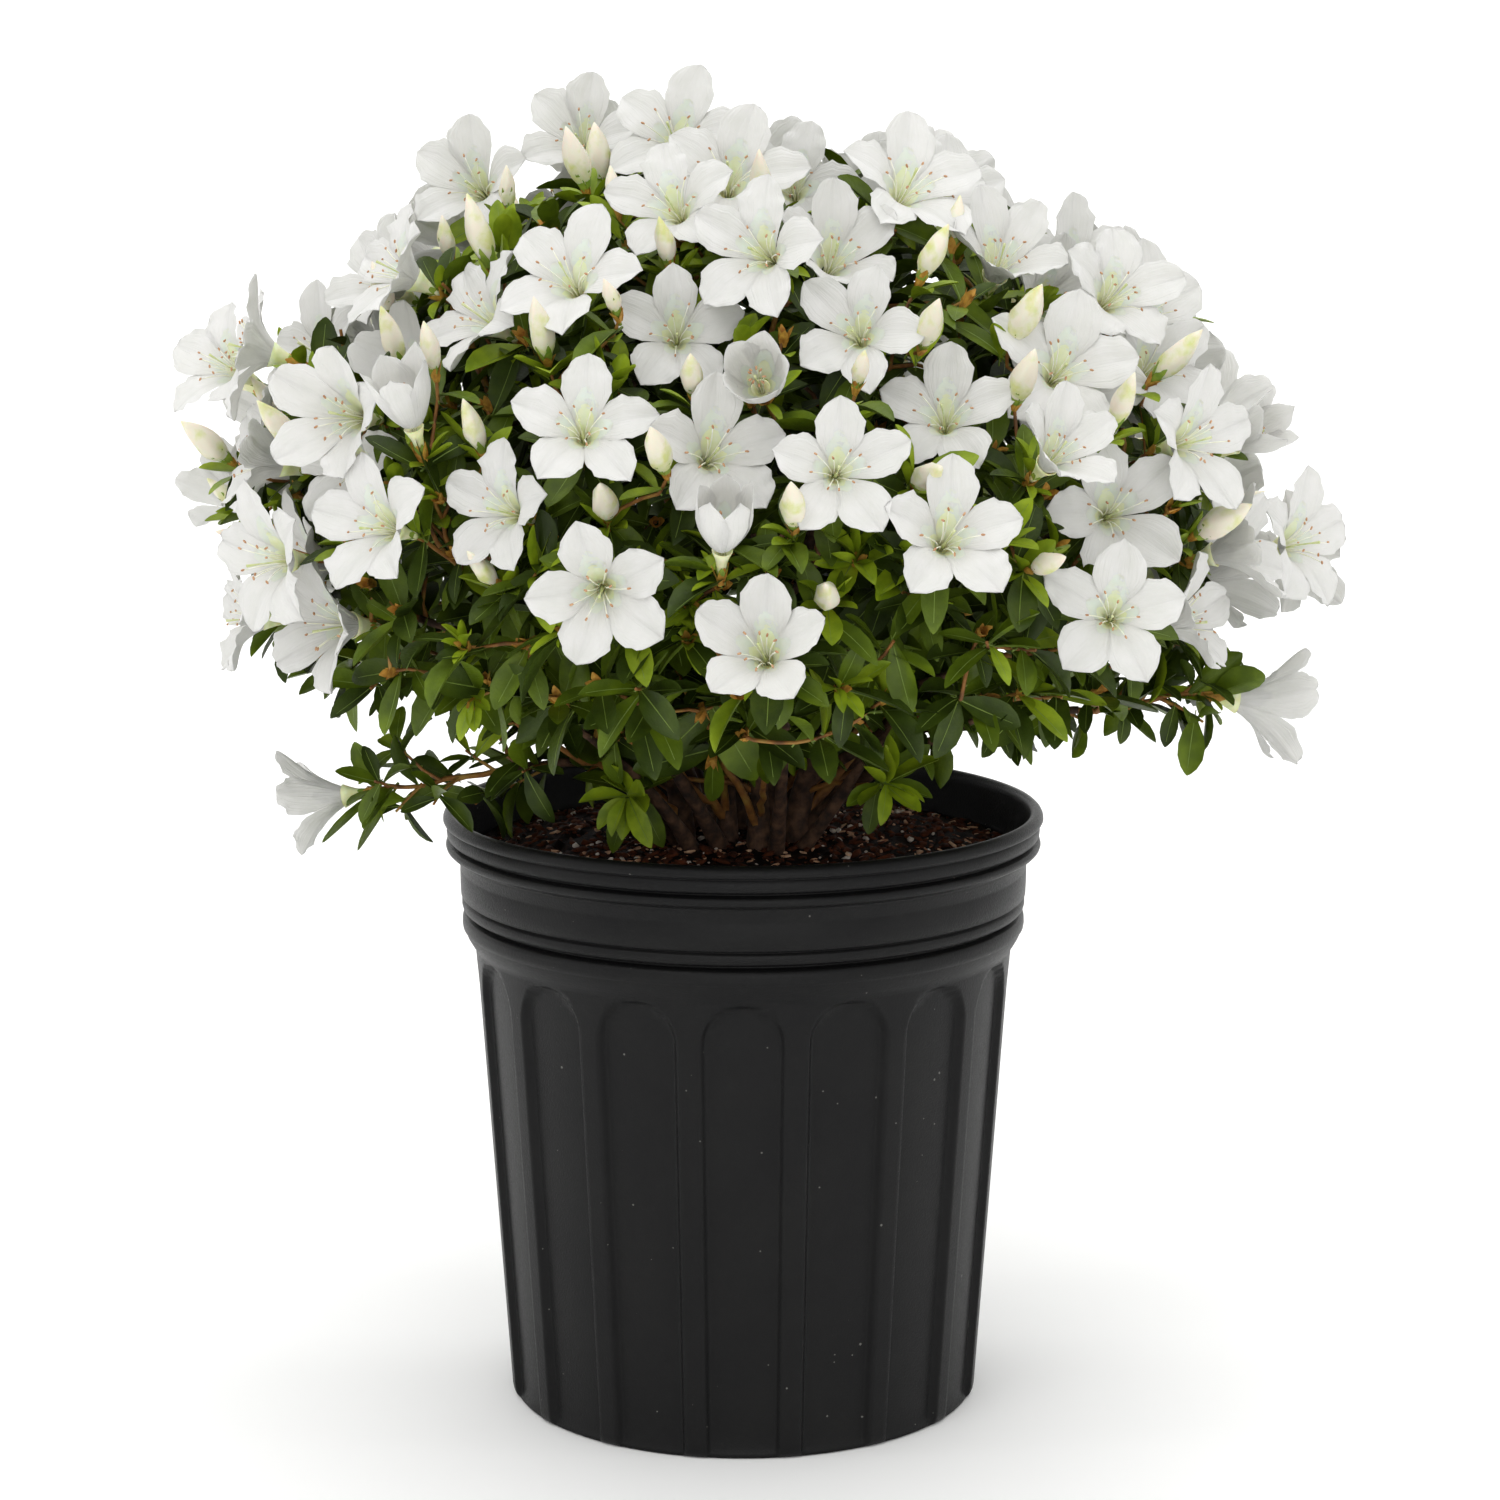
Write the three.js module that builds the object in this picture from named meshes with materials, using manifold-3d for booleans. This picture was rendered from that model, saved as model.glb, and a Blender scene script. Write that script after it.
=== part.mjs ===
// White azalea shrub in its black nursery pot: the pot, the potting mix, eight stems, the side boughs
// and the flowering masses that they carry. Millimetres, +Z up. The origin is the centre of the pot's
// flat underside, and the front of the shrub faces -Y.

import * as THREE from "three";
import { mergeVertices } from "three/addons/utils/BufferGeometryUtils.js";
import Module from "manifold-3d";

const wasm = await Module();
wasm.setup();

// Pot, outside
const UNDERSIDE_RADIUS = 101;
const FOOT_RADIUS = 105.7;
const FOOT_ROUNDING = 5;
const WALL_HEIGHT = 206;
const WALL_TOP_RADIUS = 119.7;
const LOW_BEAD = { radius: 125.3, height: 217 };
const LOW_GROOVE = { radius: 123.6, height: 222.6 };
const BAND = { radius: 126, bottom: 229, top: 245 };
const HIGH_BEAD = { radius: 132.6, height: 250.7 };
const HIGH_GROOVE = { radius: 131, height: 254.4 };
const RIM = { radius: 133.5, bottom: 259, top: 268, inner: 127.6 };

// Pot, inside
const WALL_THICKNESS = 4;
const FLOOR_THICKNESS = 3;
const POT_SEGMENTS = 32;
const POT_TOLERANCE = 0.15;

// Flutes pressed into the pot's wall
const FLUTES = 16;
const FLUTE_DEPTH = 3;
const FLUTE_TOP = 205;
const FLUTE_HALF_WIDTH = 17.5;
const FLUTE_HALF_WIDTH_AT_FOOT = 16.2;
const FLUTE_ARCH_STEPS = 4;
const CUTTER_THICKNESS = 20;

// Potting mix
const MIX_EDGE = 250;
const MIX_TOP = 255;
const MIX_FLAT_RADIUS = 42;
const MIX_SEGMENTS = 16;

// Gap kept between neighbouring solids
const CLEAR = 0.3;
const CLEAR_AT_FORK = 0.5;

// Crown: half an egg over half an egg, on which the blooms lie
const CROWN_HALF_WIDTH = 240;
const CROWN_HALF_DEPTH = 225;
const CROWN_MIDDLE = 395;
const CROWN_RISE = 175;
const CROWN_DROP = 190;

// Blooms
const PETALS = 5;
const PETAL_TURN = 360 / PETALS;
const BLOOM_RADIUS = 32;
const BLOOM_NOTCH = 0.5;
const BLOOM_SHOULDER = 0.92;
const THROAT_DEPTH = 13;
const TUBE_DEPTH = 24;
const TUBE_RADIUS = 4.5;
const BLOOM_SPACING = 50;
const LAYER_GAP = 2;
const ALIGNING = 0.7;
const FACING_TURN = 0.65;
const FACING_FULL_OUT = 150;
const LOW_TILT = 2;
const HIGH_TILT = 40;
const TILT_FROM = 300;
const TILT_UP_TO = 570;
const DROOP = -10;
const TURN_SPREAD = 30;
const NOD_SPREAD = 22;
const HOUR = 30;
const SETTLING_PASSES = 3;

// Leaves and buds
const LEAF_LENGTH = 56;
const LEAF_WIDTH = 22;
const LEAF_THICKNESS = 1.3;
const LEAF_SPLAY = 62;
const WHORL_SPLAY = 84;
const SPLAY_SPREAD = 16;
const WHORL_STATIONS = [5, 8, 11];
const SIDE_WHORL_STATIONS = [8, 11];
const LONE_STATION = 30;
const GOLDEN_TURN = 137.5;
const LEAF_TRIES = 5;
const LEAF_TRY_TURN = 35;
const BUD_LENGTH = 34;
const BUD_WIDTH = 13;
const BUD_STATION = 15;
const BUD_SPLAY = 48;
const BUD_TRIES = 8;
const BUD_TRY_TURN = 45;
const FUSED_TOLERANCES = [0.4, 0.3, 0.5, 0.2, 0.1];

// Stems, boughs and twigs
const STEM_TIP = 1.9;
const STEM_FLARE = 0.35;
const FLARE_FADE = 16;
const STEM_SIDES = 6;
const STEM_STEPS = 5;
const BOUGH_FOOT = 2.5;
const BOUGH_TIP = 1.6;
const BOUGH_SIDES = 5;
const BOUGH_STEPS = 4;
const UPSWEEP = 0.8;
const BEND_SHARE = 0.33;
const TWIG_FOOT = 1.5;
const TWIG_TIP = 0.8;
const TWIG_SIDES = 3;
const TWIG_STEPS = 3;
const DIRECT_TWIG_STEPS = 4;
const TWIG_BARE_SHARE = 0.1;
const DIRECT_TWIG_BARE_SHARE = 0.35;
const SIDE_TWIG_FOOT = 1.1;
const SIDE_TWIG_STEPS = 2;
const SIDE_TWIG_BARE_SHARE = 0.3;
const FIRST_SIDE_TWIG = 0.25;
const NEXT_SIDE_TWIG = 0.16;
const DIRECT_SIDE_TWIG = 0.2;
const SUNK = 2;
const MASS_DEPTH = 82;
const HEART = { share: 0.15, height: 300 };
const BOW_STEP = 6;
const BOW_SIDES = 8;
const TRIES = 88;

// One row for each stem: where it leaves the potting mix, seen from the axis, and its thickness there
const STEMS = {
  stem_front: { around: 15, out: 27, radius: 4.2 },
  stem_right: { around: 62, out: 27, radius: 5.2 },
  stem_top_right: { around: 105, out: 13, radius: 3.8 },
  stem_back_right: { around: 140, out: 29, radius: 4.4 },
  stem_back_top: { around: 190, out: 15, radius: 3.6 },
  stem_back_left: { around: 228, out: 29, radius: 4.2 },
  stem_left: { around: 292, out: 29, radius: 4.6 },
  stem_top_left: { around: 330, out: 14, radius: 4 },
};

// One row for each mass: its lead bloom's place on the crown (degrees round from the front towards +X,
// millimetres up), the clock hours at which its other blooms stand round the lead, and what carries it:
// the stem that ends in it (tip), or the limb that its bough leaves and how far along that is. A direct
// mass has no bough: its own stem leaves the limb.
const MASSES = [
  { name: "front_centre", around: 10, up: 442, hours: [4, 10.8, 8.2], from: "stem_front", along: 0.42 },
  { name: "front_low", around: 2, up: 373, hours: [9.6], spacing: 66, from: "stem_front", along: 0.16 },
  { name: "front_left", around: -17, up: 458, hours: [3.2], from: "stem_front", along: 0.56 },
  { name: "front_upper", around: 2, up: 523, hours: [10.6, 4.3, 1.8], tip: "stem_front" },
  { name: "front_right", around: 35, up: 446, hours: [10.4, 1], from: "stem_right", along: 0.5 },
  { name: "front_right_low", around: 40, up: 380, hours: [0.9], from: "stem_right", along: 0.22 },
  { name: "right_mid", around: 56, up: 444, hours: [3, 10.8, 1], tip: "stem_right" },
  {
    name: "right_reach", around: 82, up: 391, hours: [9.4, 3.5], reach: 1.03,
    from: "stem_right", along: 0.36,
  },
  {
    name: "right_upper", around: 60, up: 508, hours: [3.3],
    from: "stem_top_right", along: 0.55, direct: true,
  },
  { name: "top_right", around: 39, up: 548, hours: [4.7, 1.5], tip: "stem_top_right" },
  { name: "top_left", around: -95, up: 563, hours: [5.6, 9.2], reach: 1.06, tip: "stem_top_left" },
  {
    name: "top_centre", around: -38, up: 566, hours: [3.9, 2.2],
    from: "stem_top_left", along: 0.74, direct: true,
  },
  {
    name: "front_upper_left", around: -25, up: 514, hours: [3.4],
    from: "stem_top_left", along: 0.56, direct: true,
  },
  { name: "shoulder_left", around: -57, up: 513, hours: [3.3, 10], from: "stem_top_left", along: 0.45 },
  { name: "left_mid", around: -40, up: 416, hours: [2.6, 0.3, 10.9], from: "stem_left", along: 0.4 },
  { name: "left_reach_high", around: -86, up: 467, hours: [2.4, 8.8], reach: 1.04, tip: "stem_left" },
  { name: "left_reach_low", around: -57, up: 395, hours: [0.9], from: "stem_left", along: 0.28 },
  { name: "back_top", around: 132, up: 560, hours: [2.6, 9.2, 6], tip: "stem_back_top" },
  { name: "back_upper", around: 184, up: 508, hours: [4, 8.5, 12.2], from: "stem_back_top", along: 0.55 },
  { name: "back_upper_left", around: 233, up: 505, hours: [1.5, 9], from: "stem_back_left", along: 0.62 },
  {
    name: "back_upper_right", around: 122, up: 505, hours: [3.5, 9.5],
    from: "stem_back_right", along: 0.62,
  },
  { name: "back_left", around: 246, up: 430, hours: [4.2, 10, 7], tip: "stem_back_left" },
  { name: "back_right", around: 110, up: 436, hours: [2, 8, 11], tip: "stem_back_right" },
  {
    name: "back_middle_left", around: 203, up: 436, hours: [2, 9.5, 5],
    from: "stem_back_left", along: 0.4,
  },
  {
    name: "back_middle_right", around: 156, up: 440, hours: [4, 10, 7],
    from: "stem_back_right", along: 0.4,
  },
  { name: "back_low_left", around: 226, up: 368, hours: [3, 11], from: "stem_back_left", along: 0.22 },
  {
    name: "back_low_right", around: 132, up: 372, hours: [9, 12.5],
    from: "stem_back_right", along: 0.22,
  },
  { name: "low_left", around: -72, up: 282, hours: [], facing: -100, from: "stem_left", along: 0.1 },
  {
    name: "low_right", around: 79, up: 321, hours: [], reach: 1.04, facing: 100,
    from: "stem_right", along: 0.12,
  },
  {
    name: "sprig_left", around: -40, up: 283, reach: 0.42, hours: [], leafy: true,
    from: "stem_front", along: 0.1, direct: true,
  },
  {
    name: "sprig_right", around: 44, up: 290, reach: 0.46, hours: [], leafy: true,
    from: "stem_right", along: 0.1, direct: true,
  },
];

// Finishes
const finish = (color, roughness) => new THREE.MeshStandardMaterial({ color, roughness, metalness: 0 });
const POT_PLASTIC = finish("#2b2b2c", 0.6);
const POTTING_MIX = finish("#2e2119", 1);
const BARK = finish("#4a3626", 0.9);
const LEAF_AND_PETAL = finish("#5d7a3a", 0.6);

const UP = new THREE.Vector3(0, 0, 1);
const radians = THREE.MathUtils.degToRad;

// Seeded random numbers from 0 to 1, so that every build grows the same shrub
function seeded(seed) {
  let state = seed;
  return () => {
    state = (Math.imul(state, 1664525) + 1013904223) >>> 0;
    return state / 2 ** 32;
  };
}

// A closed geometry as a solid that can be joined and cut
function solidOf(geometry) {
  const bare = geometry.clone();
  bare.deleteAttribute("normal");
  bare.deleteAttribute("uv");
  const merged = mergeVertices(bare, 1e-4);
  const corners = merged.index.array;
  const triangles = [];
  for (let i = 0; i < corners.length; i += 3) {
    const [a, b, c] = [corners[i], corners[i + 1], corners[i + 2]];
    if (a !== b && b !== c && c !== a) triangles.push(a, b, c);
  }
  return new wasm.Manifold(
    new wasm.Mesh({
      numProp: 3,
      vertProperties: merged.attributes.position.array,
      triVerts: new Uint32Array(triangles),
    }),
  );
}

// The largest body of a solid: its sealed hollows are filled and its loose scraps dropped
function wholeOf(solid) {
  return solid.decompose().reduce((best, body) => (body.volume() > best.volume() ? body : best));
}

// Whether a solid stays closed when its vertices are cut to thousandths of a millimetre, after a shift
function staysClosedAt(solid, shift) {
  const { vertProperties, triVerts } = solid.getMesh();
  const cut = (value) => Math.trunc(value * 1000 + shift);
  const corner = (v) => [0, 1, 2].map((axis) => cut(vertProperties[3 * v + axis])).join();
  const uses = new Map();
  for (let i = 0; i < triVerts.length; i += 3) {
    const [a, b, c] = [0, 1, 2].map((k) => corner(triVerts[i + k]));
    if (a === b || b === c || c === a) continue;
    for (const side of [[a, b], [b, c], [c, a]]) {
      const edge = side.sort().join("/");
      uses.set(edge, (uses.get(edge) ?? 0) + 1);
    }
  }
  return [...uses.values()].every((count) => count === 2);
}

const staysClosed = (solid) => [-0.5, 0, 0.5].every((shift) => staysClosedAt(solid, shift));

// Pieces fused into one body and eased so that it stays closed, without the last piece if it has to be
function fuse(pieces) {
  const fused = wasm.Manifold.union(pieces);
  const eased = FUSED_TOLERANCES.map((tolerance) => wholeOf(fused.simplify(tolerance)));
  return eased.find(staysClosed) ?? fuse(pieces.slice(0, -1));
}

// A solid as a named mesh
function meshOf(name, solid, material) {
  const { vertProperties, triVerts } = solid.getMesh();
  const geometry = new THREE.BufferGeometry();
  geometry.setAttribute("position", new THREE.Float32BufferAttribute(vertProperties, 3));
  geometry.setIndex(Array.from(triVerts));
  const faceted = geometry.toNonIndexed();
  faceted.computeVertexNormals();
  const mesh = new THREE.Mesh(faceted, material);
  mesh.name = name;
  return mesh;
}

// A profile of [radius, height] points turned round the vertical axis
function turned(profile, segments) {
  const points = profile.map(([radius, height]) => new THREE.Vector2(radius, height));
  return solidOf(new THREE.LatheGeometry(points, segments).rotateX(Math.PI / 2));
}

// How far the inside of the pot lies from its axis, from the floor up to the rim
const INSIDE = [
  [FOOT_RADIUS - WALL_THICKNESS - 2, FLOOR_THICKNESS],
  [FOOT_RADIUS - WALL_THICKNESS, FLOOR_THICKNESS + FOOT_ROUNDING],
  [WALL_TOP_RADIUS - WALL_THICKNESS, FLUTE_TOP],
  [LOW_GROOVE.radius - WALL_THICKNESS + 1, LOW_GROOVE.height],
  [BAND.radius - WALL_THICKNESS, BAND.top - 1],
  [RIM.inner - 1, HIGH_GROOVE.height + 1],
  [RIM.inner, RIM.top - 3],
];

// The slab that presses one arched flute into the wall, leaning as the wall does
function fluteCutter(turn) {
  const arch = new THREE.Shape();
  const spring = FLUTE_TOP - FLUTE_HALF_WIDTH;
  arch.moveTo(-FLUTE_HALF_WIDTH_AT_FOOT, -FOOT_ROUNDING);
  arch.lineTo(FLUTE_HALF_WIDTH_AT_FOOT, -FOOT_ROUNDING);
  arch.lineTo(FLUTE_HALF_WIDTH, spring);
  arch.absarc(0, spring, FLUTE_HALF_WIDTH, 0, Math.PI, false);
  const slab = new THREE.ExtrudeGeometry(arch, {
    depth: CUTTER_THICKNESS,
    bevelEnabled: false,
    curveSegments: FLUTE_ARCH_STEPS,
  });
  const slope = Math.atan2(WALL_TOP_RADIUS - FOOT_RADIUS, WALL_HEIGHT);
  const sideways = new THREE.Vector3(1, 0, 0);
  const upwards = new THREE.Vector3(0, -Math.sin(slope), Math.cos(slope));
  const outwards = sideways.clone().cross(upwards);
  const stand = new THREE.Matrix4().makeBasis(sideways, upwards, outwards);
  stand.setPosition(0, FLUTE_DEPTH - FOOT_RADIUS, 0);
  return solidOf(slab.applyMatrix4(stand).rotateZ(turn));
}

// The pot: its outline turned round the axis, the flutes pressed in. The small numbers are edge roundings.
function makePot() {
  const outside = new THREE.Path();
  outside.moveTo(0, 0);
  outside.lineTo(UNDERSIDE_RADIUS, 0);
  outside.quadraticCurveTo(FOOT_RADIUS, 0, FOOT_RADIUS + 0.3, FOOT_ROUNDING);
  outside.lineTo(WALL_TOP_RADIUS, WALL_HEIGHT);
  outside.lineTo(LOW_BEAD.radius, LOW_BEAD.height);
  outside.lineTo(LOW_BEAD.radius - 0.4, LOW_BEAD.height + 3);
  outside.lineTo(LOW_GROOVE.radius, LOW_GROOVE.height);
  outside.lineTo(BAND.radius - 0.2, BAND.bottom);
  outside.lineTo(BAND.radius, BAND.top);
  outside.quadraticCurveTo(HIGH_BEAD.radius, BAND.top + 1, HIGH_BEAD.radius, HIGH_BEAD.height);
  outside.lineTo(HIGH_GROOVE.radius, HIGH_GROOVE.height);
  outside.lineTo(RIM.radius - 1, RIM.bottom);
  outside.quadraticCurveTo(RIM.radius + 0.6, RIM.top - 1, RIM.radius - 3, RIM.top);
  const outer = outside.getPoints(2).map((point) => [point.x, point.y]);
  const inner = [...INSIDE].reverse();
  let pot = turned([...outer, ...inner, [0, FLOOR_THICKNESS]], POT_SEGMENTS);
  for (let i = 0; i < FLUTES; i++) {
    pot = pot.subtract(fluteCutter((i * 2 * Math.PI) / FLUTES));
  }
  return wholeOf(pot).simplify(POT_TOLERANCE);
}

// The potting mix: it fills the pot up to a low mound and keeps its gap to the wall
function makeMix() {
  const gap = CLEAR + 0.1;
  const side = INSIDE.slice(0, 5).map(([radius, height]) => [radius - gap, height + gap]);
  const edge = [BAND.radius - WALL_THICKNESS + 1.5, MIX_EDGE];
  const surface = [
    [(edge[0] + MIX_FLAT_RADIUS) / 2, (MIX_EDGE + MIX_TOP) / 2 + 1],
    [MIX_FLAT_RADIUS, MIX_TOP],
    [0, MIX_TOP],
  ];
  return turned([[0, FLOOR_THICKNESS + gap], ...side, edge, ...surface], MIX_SEGMENTS);
}

// A limb or twig: a cylinder whose rings are laid along a curve, tapering from foot to tip
function limbAlong(curve, footRadius, tipRadius, sides, steps, flare = 0) {
  const rod = new THREE.CylinderGeometry(tipRadius, footRadius, 1, sides, steps);
  const { normals, binormals } = curve.computeFrenetFrames(steps, false);
  const places = rod.attributes.position;
  for (let i = 0; i < places.count; i++) {
    const along = places.getY(i) + 0.5;
    const ring = Math.round(along * steps);
    const widen = 1 + flare * Math.exp(-FLARE_FADE * along);
    const place = curve.getPointAt(ring / steps);
    place.addScaledVector(binormals[ring], places.getX(i) * widen);
    place.addScaledVector(normals[ring], places.getZ(i) * widen);
    places.setXYZ(i, place.x, place.y, place.z);
  }
  return solidOf(rod);
}

// The point of the crown at degrees round from the front and millimetres up
function onCrown(around, up, reach = 1) {
  const height = (up - CROWN_MIDDLE) / (up > CROWN_MIDDLE ? CROWN_RISE : CROWN_DROP);
  const level = Math.sqrt(Math.max(0, 1 - height * height));
  const [sine, cosine] = [Math.sin(radians(around)), Math.cos(radians(around))];
  const out = (reach * level) / Math.hypot(sine / CROWN_HALF_WIDTH, cosine / CROWN_HALF_DEPTH);
  return new THREE.Vector3(out * sine, -out * cosine, up);
}

// The crown's outward direction at a point
function crownNormal(place) {
  const half = place.z > CROWN_MIDDLE ? CROWN_RISE : CROWN_DROP;
  return new THREE.Vector3(
    place.x / CROWN_HALF_WIDTH ** 2,
    place.y / CROWN_HALF_DEPTH ** 2,
    (place.z - CROWN_MIDDLE) / half ** 2,
  ).normalize();
}

// The unit vector at degrees round from the front and degrees above level
function direction(around, tilt) {
  const level = Math.cos(radians(tilt));
  return new THREE.Vector3(
    level * Math.sin(radians(around)),
    -level * Math.cos(radians(around)),
    Math.sin(radians(tilt)),
  );
}

// Where a bloom looks: outwards, turned towards the nearer of front and back, and higher up the crown
function facingOf(place, random, fixed) {
  const turn = (random() - 0.5) * TURN_SPREAD;
  const nod = (random() - 0.5) * NOD_SPREAD;
  if (fixed !== undefined) return direction(fixed, DROOP);
  const out = Math.hypot(place.x, place.y);
  const around = THREE.MathUtils.radToDeg(Math.atan2(place.x, -place.y));
  const middle = Math.abs(around) > 90 ? 180 * Math.sign(around) : 0;
  const share = FACING_TURN * Math.min(1, out / FACING_FULL_OUT);
  const rise = THREE.MathUtils.clamp((place.z - TILT_FROM) / (TILT_UP_TO - TILT_FROM), 0, 1);
  const tilt = LOW_TILT + (HIGH_TILT - LOW_TILT) * rise + nod;
  return direction(middle + (around - middle) * share + turn, tilt);
}

// All blooms of the shrub, the leads first, each with its place, facing and roll
function placeBlooms() {
  const blooms = [];
  MASSES.forEach((mass, index) => {
    mass.random = seeded(1 + 977 * index);
    mass.lead = onCrown(mass.around, mass.up, mass.reach);
  });
  const add = (mass, place) => {
    const facing = facingOf(place, mass.random, mass.facing);
    blooms.push({ mass, place: place.clone(), facing, roll: mass.random() * PETAL_TURN });
  };
  for (const mass of MASSES) add(mass, mass.lead);
  for (const mass of MASSES) {
    const normal = crownNormal(mass.lead);
    const sideways = new THREE.Vector3().crossVectors(UP, normal).normalize();
    const upwards = new THREE.Vector3().crossVectors(normal, sideways);
    for (const hour of mass.hours) {
      const angle = radians(hour * HOUR);
      const away = mass.spacing ?? BLOOM_SPACING;
      const place = mass.lead.clone();
      place.addScaledVector(sideways, away * Math.sin(angle));
      place.addScaledVector(upwards, away * Math.cos(angle));
      place.addScaledVector(normal, (-away * away) / (2 * CROWN_HALF_WIDTH));
      add(mass, place);
    }
  }
  settle(blooms);
  return blooms;
}

// A bloom that crowds an earlier one stands behind it, as far as their cups need, and turns its way
function settle(blooms) {
  blooms.forEach((bloom, index) => {
    for (let pass = 0; pass < SETTLING_PASSES; pass++) {
      for (const other of blooms.slice(0, index)) {
        const apart = bloom.place.clone().sub(other.place);
        const ahead = apart.dot(other.facing);
        const beside = apart.addScaledVector(other.facing, -ahead).length();
        const share = Math.min(1, 2 - beside / BLOOM_RADIUS);
        const room = TUBE_DEPTH * share + LAYER_GAP;
        if (share <= 0 || Math.abs(ahead) >= room) continue;
        bloom.place.addScaledVector(other.facing, -room - ahead);
        bloom.facing.lerp(other.facing, ALIGNING).normalize();
      }
    }
  });
}

// A shape built along +Z, rolled and turned to face a direction, and set at a place
function faced(geometry, place, facing, roll = 0) {
  const turn = new THREE.Quaternion().setFromUnitVectors(UP, facing);
  turn.multiply(new THREE.Quaternion().setFromAxisAngle(UP, radians(roll)));
  const one = new THREE.Vector3(1, 1, 1);
  return solidOf(geometry.clone().applyMatrix4(new THREE.Matrix4().compose(place, turn, one)));
}

// A trumpet of five petals: a five-sided tube and a thin-rimmed cup, drawn in between the petals
function corollaShape() {
  const rim = [
    { reach: 1, lift: 1 },
    { reach: BLOOM_SHOULDER, lift: 0 },
    { reach: BLOOM_NOTCH, lift: -5 },
    { reach: BLOOM_SHOULDER, lift: 0 },
  ];
  const steps = PETALS * rim.length;
  const cup = [
    [0, -TUBE_DEPTH],
    [TUBE_RADIUS, -THROAT_DEPTH - 2],
    [BLOOM_RADIUS, 0],
    [0, -THROAT_DEPTH],
  ].map(([radius, height]) => new THREE.Vector2(radius, height));
  const corolla = new THREE.LatheGeometry(cup, steps).rotateX(Math.PI / 2);
  const places = corolla.attributes.position;
  for (let i = 0; i < places.count; i++) {
    const out = Math.hypot(places.getX(i), places.getY(i));
    if (out < 1) continue;
    const step = Math.round((Math.atan2(places.getX(i), -places.getY(i)) / (2 * Math.PI)) * steps);
    if (out < TUBE_RADIUS + 1) {
      const petal = radians(Math.round(step / rim.length) * PETAL_TURN);
      places.setXYZ(i, out * Math.sin(petal), -out * Math.cos(petal), places.getZ(i));
    } else {
      const { reach, lift } = rim[(step + steps) % rim.length];
      places.setXYZ(i, places.getX(i) * reach, places.getY(i) * reach, lift);
    }
  }
  return corolla;
}

// A leaf of eight faces with its foot at the origin, its tip along +X and its upper side up
function leafShape(length, width, thickness) {
  const leaf = new THREE.OctahedronGeometry(1);
  const places = leaf.attributes.position;
  for (let i = 0; i < places.count; i++) {
    const along = 0.5 + 0.5 * places.getX(i);
    places.setXYZ(i, along * length, (places.getY(i) * width) / 2, (places.getZ(i) * thickness) / 2);
  }
  return leaf;
}

const COROLLA = corollaShape();
const LEAF = leafShape(LEAF_LENGTH, LEAF_WIDTH, LEAF_THICKNESS);
const BUD = leafShape(BUD_LENGTH, BUD_WIDTH, BUD_WIDTH);

// A leaf that leaves a twig at a place, along a direction, with its upper side towards the sky
function leafAt(shape, place, along) {
  const across = new THREE.Vector3().crossVectors(UP, along).normalize();
  const above = new THREE.Vector3().crossVectors(along, across);
  const stand = new THREE.Matrix4().makeBasis(along, across, above).setPosition(place);
  return solidOf(shape.clone().applyMatrix4(stand));
}

// Solids that stand in the shrub so far, each with its box, for the clearance tests
const standing = [];
const keep = (name, solid) => standing.push({ name, solid, box: solid.boundingBox() });

// Whether a solid keeps its gap to all that stands, apart from what has one of the given names
function isClear(solid, except = []) {
  const box = solid.boundingBox();
  return standing.every((other) => {
    if (except.includes(other.name)) return true;
    for (let axis = 0; axis < 3; axis++) {
      if (box.min[axis] > other.box.max[axis] + CLEAR) return true;
      if (box.max[axis] < other.box.min[axis] - CLEAR) return true;
    }
    return solid.minGap(other.solid, 2 * CLEAR) >= CLEAR;
  });
}

// The first of some ways to make a piece that keeps clear, or else null
function firstClear(tries, make, except) {
  for (let attempt = 0; attempt < tries; attempt++) {
    const piece = make(attempt);
    if (!piece.solid.isEmpty() && isClear(piece.solid, except)) return piece;
  }
  return null;
}

// How far a route bows out of its straight line, and to which side, at each attempt
function bowOf(attempt) {
  const size = BOW_STEP * Math.ceil(attempt / BOW_SIDES);
  const turn = ((attempt % BOW_SIDES) * 360) / BOW_SIDES;
  return { size, turn };
}

// A curve that leaves a place in one direction and arrives at another in a second direction
function routeOf(start, leave, end, arrive, attempt) {
  const span = start.distanceTo(end);
  const axis = end.clone().sub(start).normalize();
  const { size, turn } = bowOf(attempt);
  const side = new THREE.Vector3().crossVectors(axis, UP).normalize();
  const bow = side.applyAxisAngle(axis, radians(turn)).multiplyScalar(size);
  const first = start.clone().addScaledVector(leave, span * BEND_SHARE).add(bow);
  const second = end.clone().addScaledVector(arrive, -span * BEND_SHARE).add(bow);
  return new THREE.CubicBezierCurve3(start, first, second, end);
}

// Where a mass's own stem begins, on the line from its lead bloom towards the heart of the shrub
function footOf(mass) {
  const calyx = mass.blooms[0].place.clone().addScaledVector(mass.blooms[0].facing, -TUBE_DEPTH);
  const heart = new THREE.Vector3(HEART.share * calyx.x, HEART.share * calyx.y, HEART.height);
  const inwards = heart.clone().sub(calyx).normalize();
  return calyx.clone().addScaledVector(inwards, MASS_DEPTH - TUBE_DEPTH);
}

// Stems and boughs by name, each with its curve and its solid
const limbs = {};

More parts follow.
